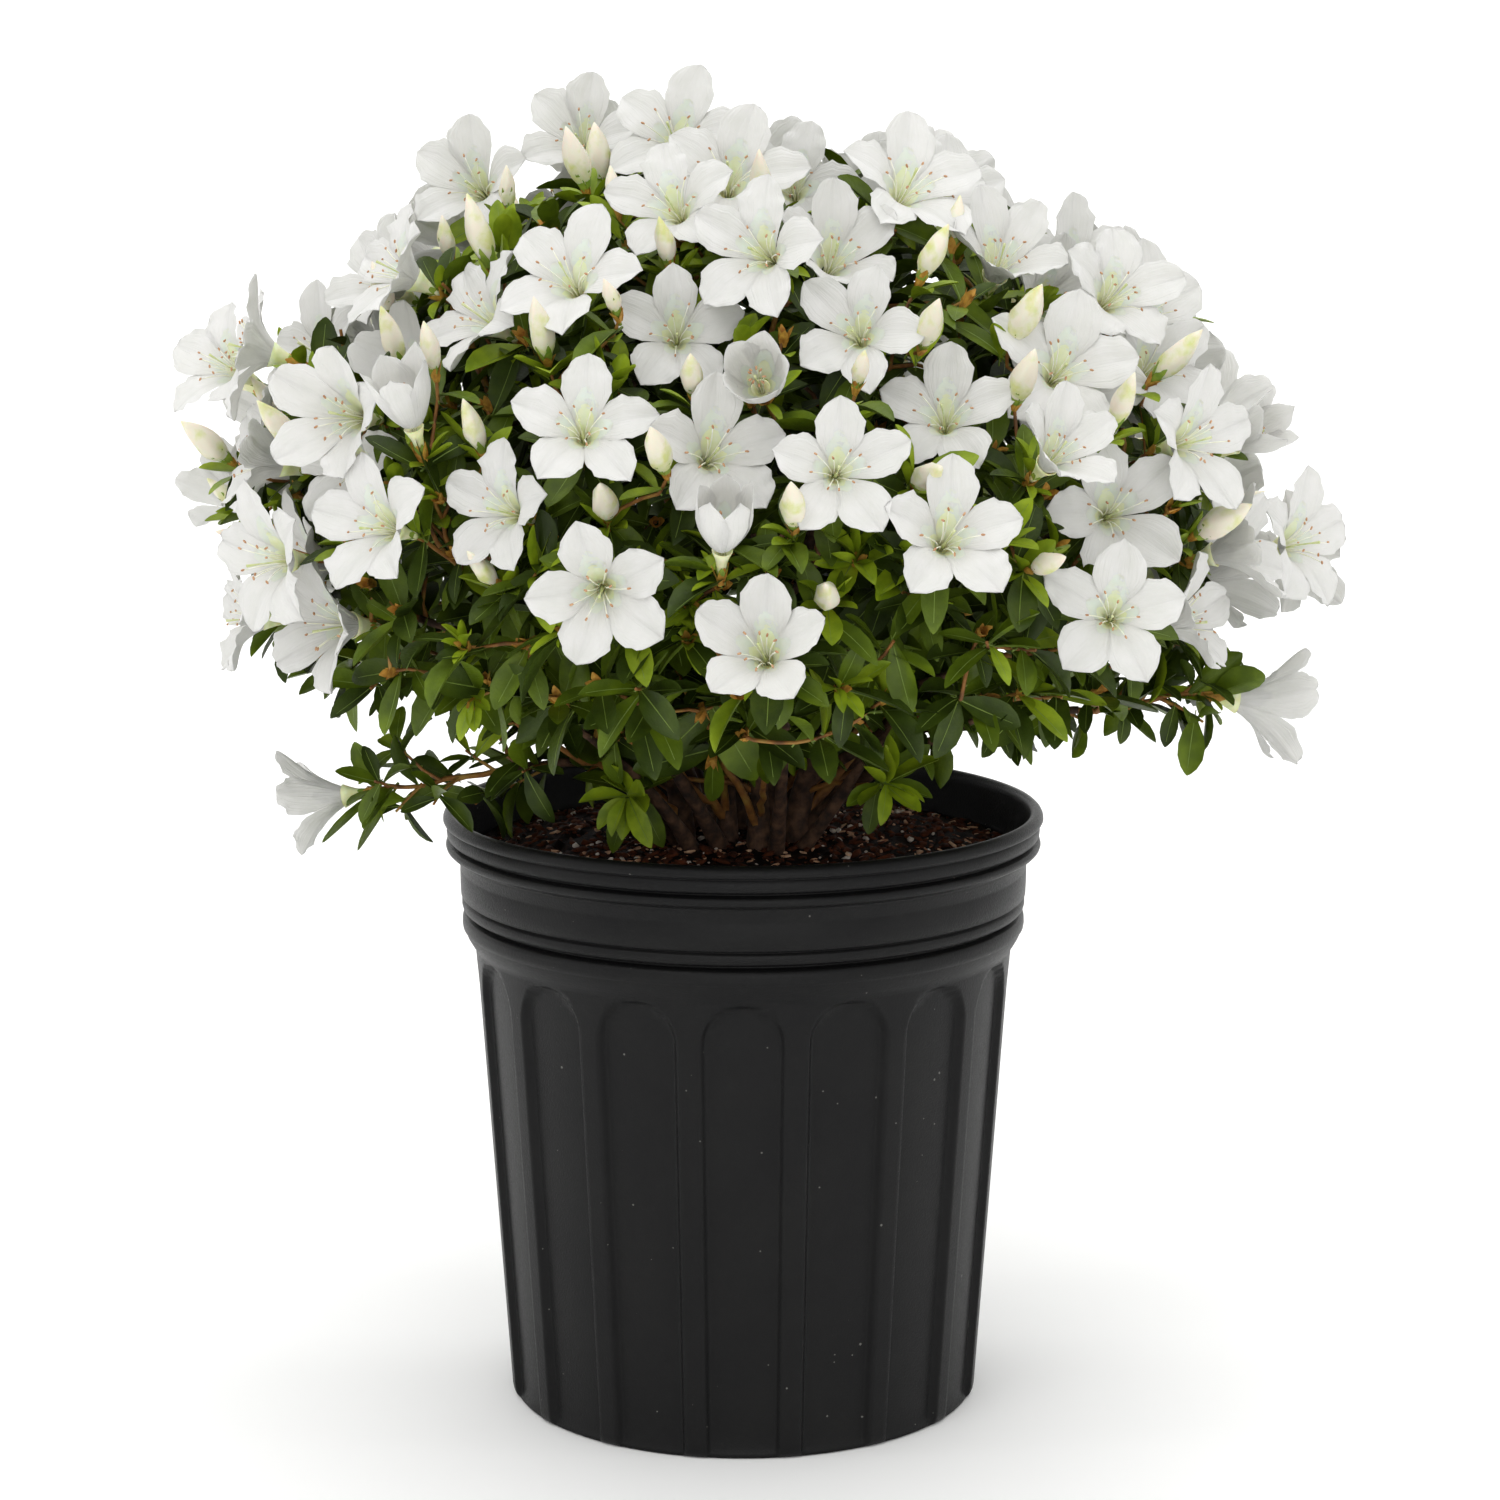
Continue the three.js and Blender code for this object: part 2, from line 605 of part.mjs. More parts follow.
// A stem, from its flat foot on the potting mix to the mass that it ends in
function growStem(mass) {
  const { around, out, radius } = STEMS[mass.tip];
  const start = direction(around, 0).multiplyScalar(out).setZ(MIX_TOP + CLEAR);
  const foot = footOf(mass);
  const arrive = mass.lead.clone().sub(foot).normalize();
  const stem = firstClear(TRIES, (attempt) => {
    const curve = routeOf(start, UP, foot, arrive, attempt);
    return { curve, solid: limbAlong(curve, radius, STEM_TIP, STEM_SIDES, STEM_STEPS, STEM_FLARE) };
  });
  stem.fat = limbAlong(
    stem.curve,
    radius + CLEAR_AT_FORK,
    STEM_TIP + CLEAR_AT_FORK,
    STEM_SIDES,
    STEM_STEPS,
    STEM_FLARE,
  );
  mass.limb = mass.tip;
  limbs[mass.tip] = stem;
  keep(mass.tip, stem.solid);
}

// The start of a side limb inside its parent, and the direction in which it leaves
function forkOf(parent, along, target) {
  const start = parent.curve.getPointAt(along);
  const onward = parent.curve.getTangentAt(along);
  const leave = target.clone().sub(start).normalize().addScaledVector(onward, UPSWEEP).normalize();
  return { start, leave };
}

// A bough, from the side of a stem to its mass
function growBough(mass) {
  const parent = limbs[mass.from];
  const foot = footOf(mass);
  const { start, leave } = forkOf(parent, mass.along, foot);
  const arrive = mass.lead.clone().sub(foot).normalize();
  const bough = firstClear(TRIES, (attempt) => {
    const curve = routeOf(start, leave, foot, arrive, attempt);
    const rod = limbAlong(curve, BOUGH_FOOT, BOUGH_TIP, BOUGH_SIDES, BOUGH_STEPS);
    return { curve, solid: wholeOf(rod.subtract(parent.fat)) };
  }, [mass.from]);
  if (!bough) throw new Error("no clear way for the bough of " + mass.name);
  mass.limb = "bough_" + mass.name;
  limbs[mass.limb] = bough;
  keep(mass.limb, bough.solid);
}

// Where a bloom's tube meets its twig, sunk a little way in
const calyxOf = (bloom) => bloom.place.clone().addScaledVector(bloom.facing, SUNK - TUBE_DEPTH);

// The blooms of a mass, which stand before any twig or leaf has to pass them
function openBlooms(mass) {
  const open = (bloom) => faced(COROLLA, bloom.place, bloom.facing, bloom.roll);
  mass.pieces = mass.leafy ? [] : mass.blooms.map(open);
  for (const corolla of mass.pieces) keep("blooms_" + mass.name, corolla);
}

// The mass's own stem, from its limb's tip or side to the lead bloom
function growMainTwig(mass) {
  const lead = mass.blooms[0];
  const parent = limbs[mass.limb ?? mass.from];
  let start, leave;
  if (mass.limb) {
    leave = parent.curve.getTangentAt(1);
    start = parent.curve.getPointAt(1).addScaledVector(leave, CLEAR);
  } else {
    ({ start, leave } = forkOf(parent, mass.along, lead.place));
  }
  const steps = mass.direct ? DIRECT_TWIG_STEPS : TWIG_STEPS;
  const bare = mass.direct ? DIRECT_TWIG_BARE_SHARE : TWIG_BARE_SHARE;
  const main = firstClear(TRIES, (attempt) => {
    const curve = routeOf(start, leave, calyxOf(lead), lead.facing, attempt);
    const rod = limbAlong(curve, TWIG_FOOT, TWIG_TIP, TWIG_SIDES, steps);
    return { curve, solid: mass.limb ? rod : wholeOf(rod.subtract(parent.fat)) };
  }, [mass.limb ?? mass.from, "blooms_" + mass.name]);
  if (!main) throw new Error("no clear way for the stem of " + mass.name);
  return { ...main, bare, whorl: WHORL_STATIONS };
}

// A twig from the mass's own stem to another of its blooms
function growSideTwig(mass, main, bloom, order) {
  const along = FIRST_SIDE_TWIG + NEXT_SIDE_TWIG * order + (mass.direct ? DIRECT_SIDE_TWIG : 0);
  const { start, leave } = forkOf(main, along, bloom.place);
  const side = firstClear(TRIES, (attempt) => {
    const curve = routeOf(start, leave, calyxOf(bloom), bloom.facing, attempt);
    return { curve, solid: limbAlong(curve, SIDE_TWIG_FOOT, TWIG_TIP, TWIG_SIDES, SIDE_TWIG_STEPS) };
  }, ["twigs_" + mass.name, "blooms_" + mass.name]);
  if (!side) throw new Error("no clear way to bloom " + (order + 1) + " of " + mass.name);
  return { ...side, bare: SIDE_TWIG_BARE_SHARE, whorl: SIDE_WHORL_STATIONS };
}

// All twigs of a mass, one for each bloom
function growTwigs(mass) {
  const main = growMainTwig(mass);
  keep("twigs_" + mass.name, main.solid);
  mass.twigs = [main];
  mass.blooms.slice(1).forEach((bloom, order) => {
    const side = growSideTwig(mass, main, bloom, order);
    keep("twigs_" + mass.name, side.solid);
    mass.twigs.push(side);
  });
  for (const twig of mass.twigs) mass.pieces.push(twig.solid);
}

// A leaf, or a bud, on a twig at a station from its tip, turned round the twig and splayed from it
function sprout(shape, twig, station, turn, splay) {
  const along = 1 - station / twig.curve.getLength();
  const place = twig.curve.getPointAt(along);
  const onward = twig.curve.getTangentAt(along);
  const side = new THREE.Vector3().crossVectors(onward, UP).normalize();
  side.applyAxisAngle(onward, radians(turn)).multiplyScalar(Math.sin(radians(splay)));
  const heading = onward.multiplyScalar(Math.cos(radians(splay))).add(side);
  return { solid: leafAt(shape, place, heading) };
}

// A leaf or bud that found a clear place joins its mass
function addSprout(mass, sprouted) {
  if (!sprouted) return;
  keep("leaves_" + mass.name, sprouted.solid);
  mass.pieces.push(sprouted.solid);
}

// Leaves in a whorl under each bloom and one by one down its twig, each sunk in the twig, and a bud
function growLeaves(mass) {
  const own = ["leaves_" + mass.name, "twigs_" + mass.name];
  for (const twig of mass.twigs) {
    const room = twig.curve.getLength() * (1 - twig.bare);
    const stations = [...twig.whorl, LONE_STATION].filter((station) => station < room);
    stations.forEach((station, index) => {
      const turn = index * GOLDEN_TURN + mass.random() * TURN_SPREAD;
      const middle = station === LONE_STATION ? LEAF_SPLAY : WHORL_SPLAY;
      const splay = middle + (mass.random() - 0.5) * SPLAY_SPREAD;
      const unfold = (attempt) => sprout(LEAF, twig, station, turn + attempt * LEAF_TRY_TURN, splay);
      addSprout(mass, firstClear(LEAF_TRIES, unfold, own));
    });
  }
  const turn = mass.random() * 360;
  const [main] = mass.twigs;
  const swell = (attempt) => sprout(BUD, main, BUD_STATION, turn + attempt * BUD_TRY_TURN, BUD_SPLAY);
  addSprout(mass, firstClear(BUD_TRIES, swell, own));
}

const shrub = new THREE.Group();
const add = (name, solid, material) => shrub.add(meshOf(name, solid, material));

const pot = makePot();
const mix = makeMix();
keep("pot", pot);
add("pot", pot, POT_PLASTIC);
add("potting_mix", mix, POTTING_MIX);

const blooms = placeBlooms();
for (const mass of MASSES) mass.blooms = blooms.filter((bloom) => bloom.mass === mass);
for (const mass of MASSES.filter((row) => row.tip)) growStem(mass);
for (const mass of MASSES.filter((row) => row.from && !row.direct)) growBough(mass);
keep("potting_mix", mix);
for (const mass of MASSES) openBlooms(mass);
for (const mass of MASSES) growTwigs(mass);
for (const mass of MASSES) growLeaves(mass);

for (const name of Object.keys(limbs)) add(name, limbs[name].solid, BARK);
for (const mass of MASSES) {
  add("foliage_" + mass.name, fuse(mass.pieces), LEAF_AND_PETAL);
}

export default shrub;
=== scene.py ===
"""White azalea shrub in full bloom in its black nursery pot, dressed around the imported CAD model.

The front of the shrub faces -Y. The shrub grows in millimetres, by the rule of the part's source, and
becomes metres where a mesh is made.
"""

import math

import bpy
import numpy as np
from mathutils import Matrix, Quaternion, Vector


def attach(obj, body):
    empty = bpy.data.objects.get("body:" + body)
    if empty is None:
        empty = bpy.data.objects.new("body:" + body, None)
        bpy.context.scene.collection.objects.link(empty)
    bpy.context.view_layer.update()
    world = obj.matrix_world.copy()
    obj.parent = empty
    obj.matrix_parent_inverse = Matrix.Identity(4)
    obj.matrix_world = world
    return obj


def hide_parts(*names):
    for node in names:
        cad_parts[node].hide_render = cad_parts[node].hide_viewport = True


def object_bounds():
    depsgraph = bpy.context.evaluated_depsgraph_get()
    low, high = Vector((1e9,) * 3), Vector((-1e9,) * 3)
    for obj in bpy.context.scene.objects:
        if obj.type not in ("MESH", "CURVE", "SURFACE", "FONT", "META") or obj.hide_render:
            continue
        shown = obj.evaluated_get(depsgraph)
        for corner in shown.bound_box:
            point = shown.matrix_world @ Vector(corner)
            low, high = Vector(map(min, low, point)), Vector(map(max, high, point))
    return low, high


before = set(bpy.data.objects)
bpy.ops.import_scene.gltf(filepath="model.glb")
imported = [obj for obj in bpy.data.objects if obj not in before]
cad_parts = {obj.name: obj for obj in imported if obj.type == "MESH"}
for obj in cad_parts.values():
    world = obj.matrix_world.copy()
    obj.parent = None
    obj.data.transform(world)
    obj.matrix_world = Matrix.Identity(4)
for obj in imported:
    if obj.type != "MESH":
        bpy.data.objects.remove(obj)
CAD_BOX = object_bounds()

MM = 0.001
UP = np.array([0.0, 0.0, 1.0])
BOX_LOW, BOX_HIGH = np.array(CAD_BOX) / MM

# The mix and the crown, as in the source
MIX_EDGE = 250
MIX_TOP = 255
CLEAR = 0.3
CROWN_HALF_WIDTH = 240
CROWN_HALF_DEPTH = 225
CROWN_MIDDLE = 395
CROWN_RISE = 175
CROWN_DROP = 190
HEART = (0.15, 300)
MASS_DEPTH = 82

# The viewpoint of the photograph, and the crown's outline from there: across and up, where it falls on
# the upright plane through the pot's axis
VIEWPOINT = np.array([3.0, -1780.0, 618.0])
SKYLINE = np.array([
    (-260, 440), (-240, 478), (-218, 491), (-179, 487), (-172, 508), (-148, 532), (-131, 548),
    (-112, 586), (-75, 586), (-54, 571), (-32, 582), (-10, 568), (16, 568), (38, 552), (50, 536),
    (58, 555), (77, 565), (96, 554), (102, 535), (120, 541), (146, 526), (172, 512), (200, 499),
    (209, 476), (224, 450), (240, 425), (262, 396),
])
# How far petals rise over a bloom's middle, how far over the outline they may, and the furthest that a
# bloom is lowered to it
PETAL_RISE = 20
OUTLINE_SLACK = 4
DEEPEST_DIP = 26

# Blooms, as in the source
PETALS = 5
BLOOM_RADIUS = 32
TUBE_DEPTH = 24
BLOOM_SPACING = 50
LAYER_GAP = 2
ALIGNING = 0.7
FACING_TURN = 0.65
FACING_FULL_OUT = 150
LOW_TILT = 2
HIGH_TILT = 40
TILT_FROM = 300
TILT_UP_TO = 570
DROOP = -10
TURN_SPREAD = 30
NOD_SPREAD = 22
HOUR = 30
SETTLING_PASSES = 3
SUNK = 2

# The cup of an open bloom: its depth behind the rim, the radius of its floor, and how soon it flares
CUP_DEPTH = 18.5
CUP_FLOOR = 2.5
CUP_FADE = 7.6

# The lowest that shoots and their leaves hang by the pot's axis, how that rises outwards, how far out it
# holds, and how far a leaf may pass the solids' box and the photographed outline
SHOOT_EDGE = 292
LEAF_EDGE = 276
EDGE_RISE = 0.0013
EDGE_REACH = 165
LEAF_SLACK = 3
LEAF_RISE = 5

# Room round a bloom: aside of its axis, behind its face and before it, for the tip of a shoot and for a
# closed bud. How near a leaf comes to its cup, and where a leaf in front would hide it
SHOOT_ROOM = (28, 9, 60)
BUD_SHADE = (23, 32, 50)
LEAF_ROOM = 1.6
HIDING_RADIUS = BLOOM_RADIUS * 0.8
HIDING_REACH = 45
# A closed bud: how far it turns up, how far it reaches from its foot, its height over the foliage's low
# edge and over the skyline, how far off the nearest bloom, bud and, for a tuft, bud may be, and its body
BUD_LIFT = 0.55
BUD_REACH = 32
BUD_OVER_EDGE = 40
BUD_RISE = 6
BLOOM_NEAR = 48
BUD_SPACING = 34
TUFT_ROOM = 24
BUD_LENGTH = 30
BUD_ROOM = 7.5
# Further blooms: the heights that they start from over the middle and at the sides, how far out those are,
# and the front that is left to the photograph's own. The room from middle to middle, to the other's tube,
# and from tube to tube, and the solids' box drawn in from below and from above
FILL_TOP = 455
FILL_LOW = 360
FILL_OUT = 150
FRONT_DEPTH = 40
FRONT_OUT = 140
FILL_SPACING = 33
FILL_ROOM = 21
TUBE_ROOM = 12
FILL_BOX = (-24, -12)
# The pot's rim with a leaf's thickness to spare
RIM_TOP = 272
RIM_OUTSIDE = 139
RIM_INSIDE = 118

# Limbs, as in the source
STEM_TIP = 1.9
STEM_FLARE = 0.35
FLARE_FADE = 16
BOUGH_FOOT = 2.5
BOUGH_TIP = 1.6
UPSWEEP = 0.8
BEND_SHARE = 0.33
TWIG_FOOT = 1.5
TWIG_TIP = 0.8
SIDE_TWIG_FOOT = 1.1
FIRST_SIDE_TWIG = 0.25
NEXT_SIDE_TWIG = 0.16
DIRECT_SIDE_TWIG = 0.2
BOW_STEP = 6
BOW_SIDES = 8
TRIES = 88

# Each stem: degrees round from the front, millimetres from the axis and radius at the potting mix
STEMS = {
    "stem_front": (15, 27, 4.2),
    "stem_right": (62, 27, 5.2),
    "stem_top_right": (105, 13, 3.8),
    "stem_back_right": (140, 29, 4.4),
    "stem_back_top": (190, 15, 3.6),
    "stem_back_left": (228, 29, 4.2),
    "stem_left": (292, 29, 4.6),
    "stem_top_left": (330, 14, 4),
}

# Each mass: name, degrees round and millimetres up of its lead bloom, clock hours of its other blooms,
# the limb that it grows from, and how far along that (1 for the stem's own tip)
MASSES = [
    ("front_centre", 10, 442, [4, 10.8, 8.2], "stem_front", 0.42),
    ("front_low", 2, 373, [9.6], "stem_front", 0.16, {"spacing": 66}),
    ("front_left", -17, 458, [3.2], "stem_front", 0.56),
    ("front_upper", 2, 523, [10.6, 4.3, 1.8], "stem_front", 1),
    ("front_right", 35, 446, [10.4, 1], "stem_right", 0.5),
    ("front_right_low", 40, 380, [0.9], "stem_right", 0.22),
    ("right_mid", 56, 444, [3, 10.8, 1], "stem_right", 1),
    ("right_reach", 82, 391, [9.4, 3.5], "stem_right", 0.36, {"reach": 1.03}),
    ("right_upper", 60, 508, [3.3], "stem_top_right", 0.55, {"direct": True}),
    ("top_right", 39, 548, [4.7, 1.5], "stem_top_right", 1),
    ("top_left", -95, 563, [5.6, 9.2], "stem_top_left", 1, {"reach": 1.06}),
    ("top_centre", -38, 566, [3.9, 2.2], "stem_top_left", 0.74, {"direct": True}),
    ("front_upper_left", -25, 514, [3.4], "stem_top_left", 0.56, {"direct": True}),
    ("shoulder_left", -57, 513, [3.3, 10], "stem_top_left", 0.45),
    ("left_mid", -40, 416, [2.6, 0.3, 10.9], "stem_left", 0.4),
    ("left_reach_high", -86, 467, [2.4, 8.8], "stem_left", 1, {"reach": 1.04}),
    ("left_reach_low", -57, 395, [0.9], "stem_left", 0.28),
    ("back_top", 132, 560, [2.6, 9.2, 6], "stem_back_top", 1),
    ("back_upper", 184, 508, [4, 8.5, 12.2], "stem_back_top", 0.55),
    ("back_upper_left", 233, 505, [1.5, 9], "stem_back_left", 0.62),
    ("back_upper_right", 122, 505, [3.5, 9.5], "stem_back_right", 0.62),
    ("back_left", 246, 430, [4.2, 10, 7], "stem_back_left", 1),
    ("back_right", 110, 436, [2, 8, 11], "stem_back_right", 1),
    ("back_middle_left", 203, 436, [2, 9.5, 5], "stem_back_left", 0.4),
    ("back_middle_right", 156, 440, [4, 10, 7], "stem_back_right", 0.4),
    ("back_low_left", 226, 368, [3, 11], "stem_back_left", 0.22),
    ("back_low_right", 132, 372, [9, 12.5], "stem_back_right", 0.22),
    ("low_left", -72, 282, [], "stem_left", 0.1, {"facing": -100}),
    ("low_right", 79, 321, [], "stem_right", 0.12, {"reach": 1.04, "facing": 100}),
    ("sprig_left", -40, 283, [], "stem_front", 0.1, {"reach": 0.42, "leafy": True, "direct": True}),
    ("sprig_right", 44, 290, [], "stem_right", 0.1, {"reach": 0.46, "leafy": True, "direct": True}),
]
# The blooms that the photograph shows half open: their mass and their order in it
HALF_OPEN = {("front_centre", 3), ("left_mid", 2)}


# The rule of the source, written again


class Draws:
    """The source's seeded random numbers from 0 to 1."""

    def __init__(self, seed):
        self.state = seed

    def __call__(self):
        self.state = (self.state * 1664525 + 1013904223) % 2**32
        return self.state / 2**32


def unit(vector):
    return vector / np.linalg.norm(vector)


def direction(around, tilt):
    """The unit vector at degrees round from the front and degrees above level."""
    a, t = math.radians(around), math.radians(tilt)
    return np.array([math.cos(t) * math.sin(a), -math.cos(t) * math.cos(a), math.sin(t)])


def turned(vector, axis, degrees):
    return np.array(Quaternion(Vector(axis), math.radians(degrees)) @ Vector(vector))


def on_crown(around, up, reach=1.0):
    """The point of the crown at degrees round from the front and millimetres up."""
    height = (up - CROWN_MIDDLE) / (CROWN_RISE if up > CROWN_MIDDLE else CROWN_DROP)
    level = math.sqrt(max(0.0, 1 - height * height))
    sine, cosine = math.sin(math.radians(around)), math.cos(math.radians(around))
    out = reach * level / math.hypot(sine / CROWN_HALF_WIDTH, cosine / CROWN_HALF_DEPTH)
    return np.array([out * sine, -out * cosine, up], float)


def crown_normal(place):
    """The way straight out of the crown at a place."""
    half = CROWN_RISE if place[2] > CROWN_MIDDLE else CROWN_DROP
    return unit((place - UP * CROWN_MIDDLE) / np.array([CROWN_HALF_WIDTH, CROWN_HALF_DEPTH, half]) ** 2)


def in_crown(way, share):
    """The place at a share of the way from the crown's middle out to its surface."""
    half = CROWN_RISE if way[2] > 0 else CROWN_DROP
    place = way * share * np.array([CROWN_HALF_WIDTH, CROWN_HALF_DEPTH, half])
    place[2] += CROWN_MIDDLE
    return place


def crown_share(places):
    """How far out each place lies: 0 at the crown's middle, 1 on its surface."""
    half = np.where(places[:, 2] > CROWN_MIDDLE, CROWN_RISE, CROWN_DROP)
    return np.sqrt(
        (places[:, 0] / CROWN_HALF_WIDTH) ** 2
        + (places[:, 1] / CROWN_HALF_DEPTH) ** 2
        + ((places[:, 2] - CROWN_MIDDLE) / half) ** 2
    )


def nearest(places, place):
    """How far a place lies from the nearest of some others."""
    return np.linalg.norm(np.array(places) - place, axis=1).min() if len(places) else math.inf


def in_box(places, below=LEAF_SLACK, above=LEAF_SLACK):
    """Whether places lie in the solids' box, or past its low and high sides by no more than so much."""
    return np.all((places > BOX_LOW - below) & (places < BOX_HIGH + above), axis=-1)


def over_skyline(places):
    """How far places stand over the crown's outline as photographed, in millimetres."""
    share = VIEWPOINT[1] / (VIEWPOINT[1] - places[:, 1])
    across = VIEWPOINT[0] + (places[:, 0] - VIEWPOINT[0]) * share
    up = VIEWPOINT[2] + (places[:, 2] - VIEWPOINT[2]) * share
    return up - np.interp(across, SKYLINE[:, 0], SKYLINE[:, 1])


def facing_of(place, draw, fixed):
    turn = (draw() - 0.5) * TURN_SPREAD
    nod = (draw() - 0.5) * NOD_SPREAD
    if fixed is not None:
        return direction(fixed, DROOP)
    out = math.hypot(place[0], place[1])
    around = math.degrees(math.atan2(place[0], -place[1]))
    middle = math.copysign(180, around) if abs(around) > 90 else 0
    share = FACING_TURN * min(1, out / FACING_FULL_OUT)
    rise = min(1, max(0, (place[2] - TILT_FROM) / (TILT_UP_TO - TILT_FROM)))
    tilt = LOW_TILT + (HIGH_TILT - LOW_TILT) * rise + nod
    return direction(middle + (around - middle) * share + turn, tilt)


class Mass:
    def __init__(self, index, row):
        self.name, around, up, self.hours, self.source, self.along = row[:6]
        options = row[6] if len(row) > 6 else {}
        self.draw = Draws(1 + 977 * index)
        self.lead = on_crown(around, up, options.get("reach", 1.0))
        self.spacing = options.get("spacing", BLOOM_SPACING)
        self.facing = options.get("facing")
        self.leafy = options.get("leafy", False)
        self.direct = options.get("direct", False)
        self.blooms = []


class Bloom:
    def __init__(self, mass, place):
        self.mass = mass
        self.half_open = (mass.name, len(mass.blooms)) in HALF_OPEN
        self.place = place.copy()
        self.facing = facing_of(place, mass.draw, mass.facing)
        self.roll = mass.draw() - 0.5
        mass.blooms.append(self)


def stand_behind(bloom, others):
    """A bloom that crowds others stands behind them and turns their way."""
    for _ in range(SETTLING_PASSES):
        for other in others:
            if other.half_open or bloom.half_open:
                continue
            apart = bloom.place - other.place
            ahead = apart @ other.facing
            beside = np.linalg.norm(apart - ahead * other.facing)
            share = min(1, 2 - beside / BLOOM_RADIUS)
            room = TUBE_DEPTH * share + LAYER_GAP
            if share <= 0 or abs(ahead) >= room:
                continue
            bloom.place = bloom.place + (-room - ahead) * other.facing
            bloom.facing = unit(bloom.facing + (other.facing - bloom.facing) * ALIGNING)


def place_blooms(masses):
    blooms = [Bloom(mass, mass.lead) for mass in masses]
    for mass in masses:
        normal = crown_normal(mass.lead)
        sideways = unit(np.cross(UP, normal))
        upwards = np.cross(normal, sideways)
        for hour in mass.hours:
            angle = math.radians(hour * HOUR)
            place = mass.lead + mass.spacing * (math.sin(angle) * sideways + math.cos(angle) * upwards)
            place = place - normal * mass.spacing**2 / (2 * CROWN_HALF_WIDTH)
            blooms.append(Bloom(mass, place))
    for index, bloom in enumerate(blooms):
        stand_behind(bloom, blooms[:index])
    return blooms


class Route:
    """A cubic Bezier curve, read by its share of length."""

    DIVISIONS = 200

    def __init__(self, start, leave, end, arrive, attempt=0):
        span = np.linalg.norm(end - start)
        axis = (end - start) / span
        size = BOW_STEP * math.ceil(attempt / BOW_SIDES)
        side = turned(unit(np.cross(axis, UP)), axis, (attempt % BOW_SIDES) * 360 / BOW_SIDES)
        first = start + leave * span * BEND_SHARE + side * size
        second = end - arrive * span * BEND_SHARE + side * size
        t = np.linspace(0, 1, self.DIVISIONS + 1)[:, None]
        s = 1 - t
        self.points = s**3 * start + 3 * s * s * t * first + 3 * s * t * t * second + t**3 * end
        steps = np.linalg.norm(np.diff(self.points, axis=0), axis=1)
        self.lengths = np.concatenate([[0], np.cumsum(steps)])
        self.length = self.lengths[-1]

    def at(self, share):
        return np.array(
            [np.interp(np.asarray(share) * self.length, self.lengths, self.points[:, k]) for k in range(3)]
        ).T

    def tangent(self, share):
        low, high = max(0, share - 0.01), min(1, share + 0.01)
        return unit(self.at(high) - self.at(low))


def cad_corners(name):
    """The corners of a CAD node, in millimetres."""
    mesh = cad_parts[name].data
    corners = np.empty(len(mesh.vertices) * 3)
    mesh.vertices.foreach_get("co", corners)
    return np.unique(np.round(corners.reshape(-1, 3) / MM, 2), axis=0)


def best_route(name, make, foot, tip, rings, flare=0.0):
    """Of the source's ways round its neighbours, the one that the CAD limb took."""
    corners = cad_corners(name)
    shares = np.arange(1, rings) / rings
    radii = (foot + (tip - foot) * shares) * (1 + flare * np.exp(-FLARE_FADE * shares))
    scored = []
    for attempt in range(TRIES):
        route = make(attempt)
        away = np.linalg.norm(corners[None] - route.at(shares)[:, None], axis=2)
        nearest = np.sort(away, axis=1)[:, :4].mean(axis=1)
        scored.append((np.abs(nearest - radii).sum(), attempt, route))
    return min(scored, key=lambda entry: entry[:2])[2]


def foot_of(mass):
    lead = mass.blooms[0]
    calyx = lead.place - lead.facing * TUBE_DEPTH
    heart = np.array([HEART[0] * calyx[0], HEART[0] * calyx[1], HEART[1]])
    return calyx + unit(heart - calyx) * (MASS_DEPTH - TUBE_DEPTH)


def fork(route, along, target):
    start = route.at(along)
    leave = unit(unit(target - start) + route.tangent(along) * UPSWEEP)
    return start, leave


class Limb:
    def __init__(self, route, foot, tip, flare):
        self.route, self.foot, self.tip, self.flare = route, foot, tip, flare

    def radius(self, share):
        return (self.foot + (self.tip - self.foot) * share) * (1 + self.flare * np.exp(-FLARE_FADE * share))


def grow_limbs(masses):
    limbs = {}
    for mass in masses:
        if mass.along != 1:
            continue
        around, out, radius = STEMS[mass.source]
        start = direction(around, 0) * out + UP * (MIX_TOP + CLEAR)
        foot = foot_of(mass)
        arrive = unit(mass.lead - foot)
        way = lambda attempt: Route(start, UP, foot, arrive, attempt)
        route = best_route(mass.source, way, radius, STEM_TIP, 5, STEM_FLARE)
        limbs[mass.source] = mass.limb = Limb(route, radius, STEM_TIP, STEM_FLARE)
    for mass in masses:
        if mass.along == 1:
            continue
        parent = limbs[mass.source].route
        if mass.direct:
            mass.limb = None
            mass.start, mass.leave = fork(parent, mass.along, mass.blooms[0].place)
            continue
        foot = foot_of(mass)
        start, leave = fork(parent, mass.along, foot)
        arrive = unit(mass.lead - foot)
        name = "bough_" + mass.name
        way = lambda attempt: Route(start, leave, foot, arrive, attempt)
        route = best_route(name, way, BOUGH_FOOT, BOUGH_TIP, 4)
        limbs[name] = mass.limb = Limb(route, BOUGH_FOOT, BOUGH_TIP, 0.25)
    return limbs


# Twigs, shoots and leaves within the same reach

# Millimetres between the points of a twig, and its radius at the tip of a shoot
STATION = 8
SHOOT_TIP = 0.75
SLIMMEST_FOOT = 0.9
# How much of the way that a shoot's carrier runs stays in the way that it leaves
ONWARD_SHARE = 0.7
# What makes a point a poor start for a shoot: lying further from the heart than the tip, higher, or close
OUTWARD_COST = 2.5
OUTWARD_SLACK = 14
UPWARD_COST = 0.6
UPWARD_SLACK = 6
CLOSE_COST = 60
CLOSE = 14

# Leaves round a twig: the turn from each to the next, and the whorl's distance from the tip and steps
LEAF_TURN = 137.5
WHORL_START = 3
WHORL_STEP = 1.8
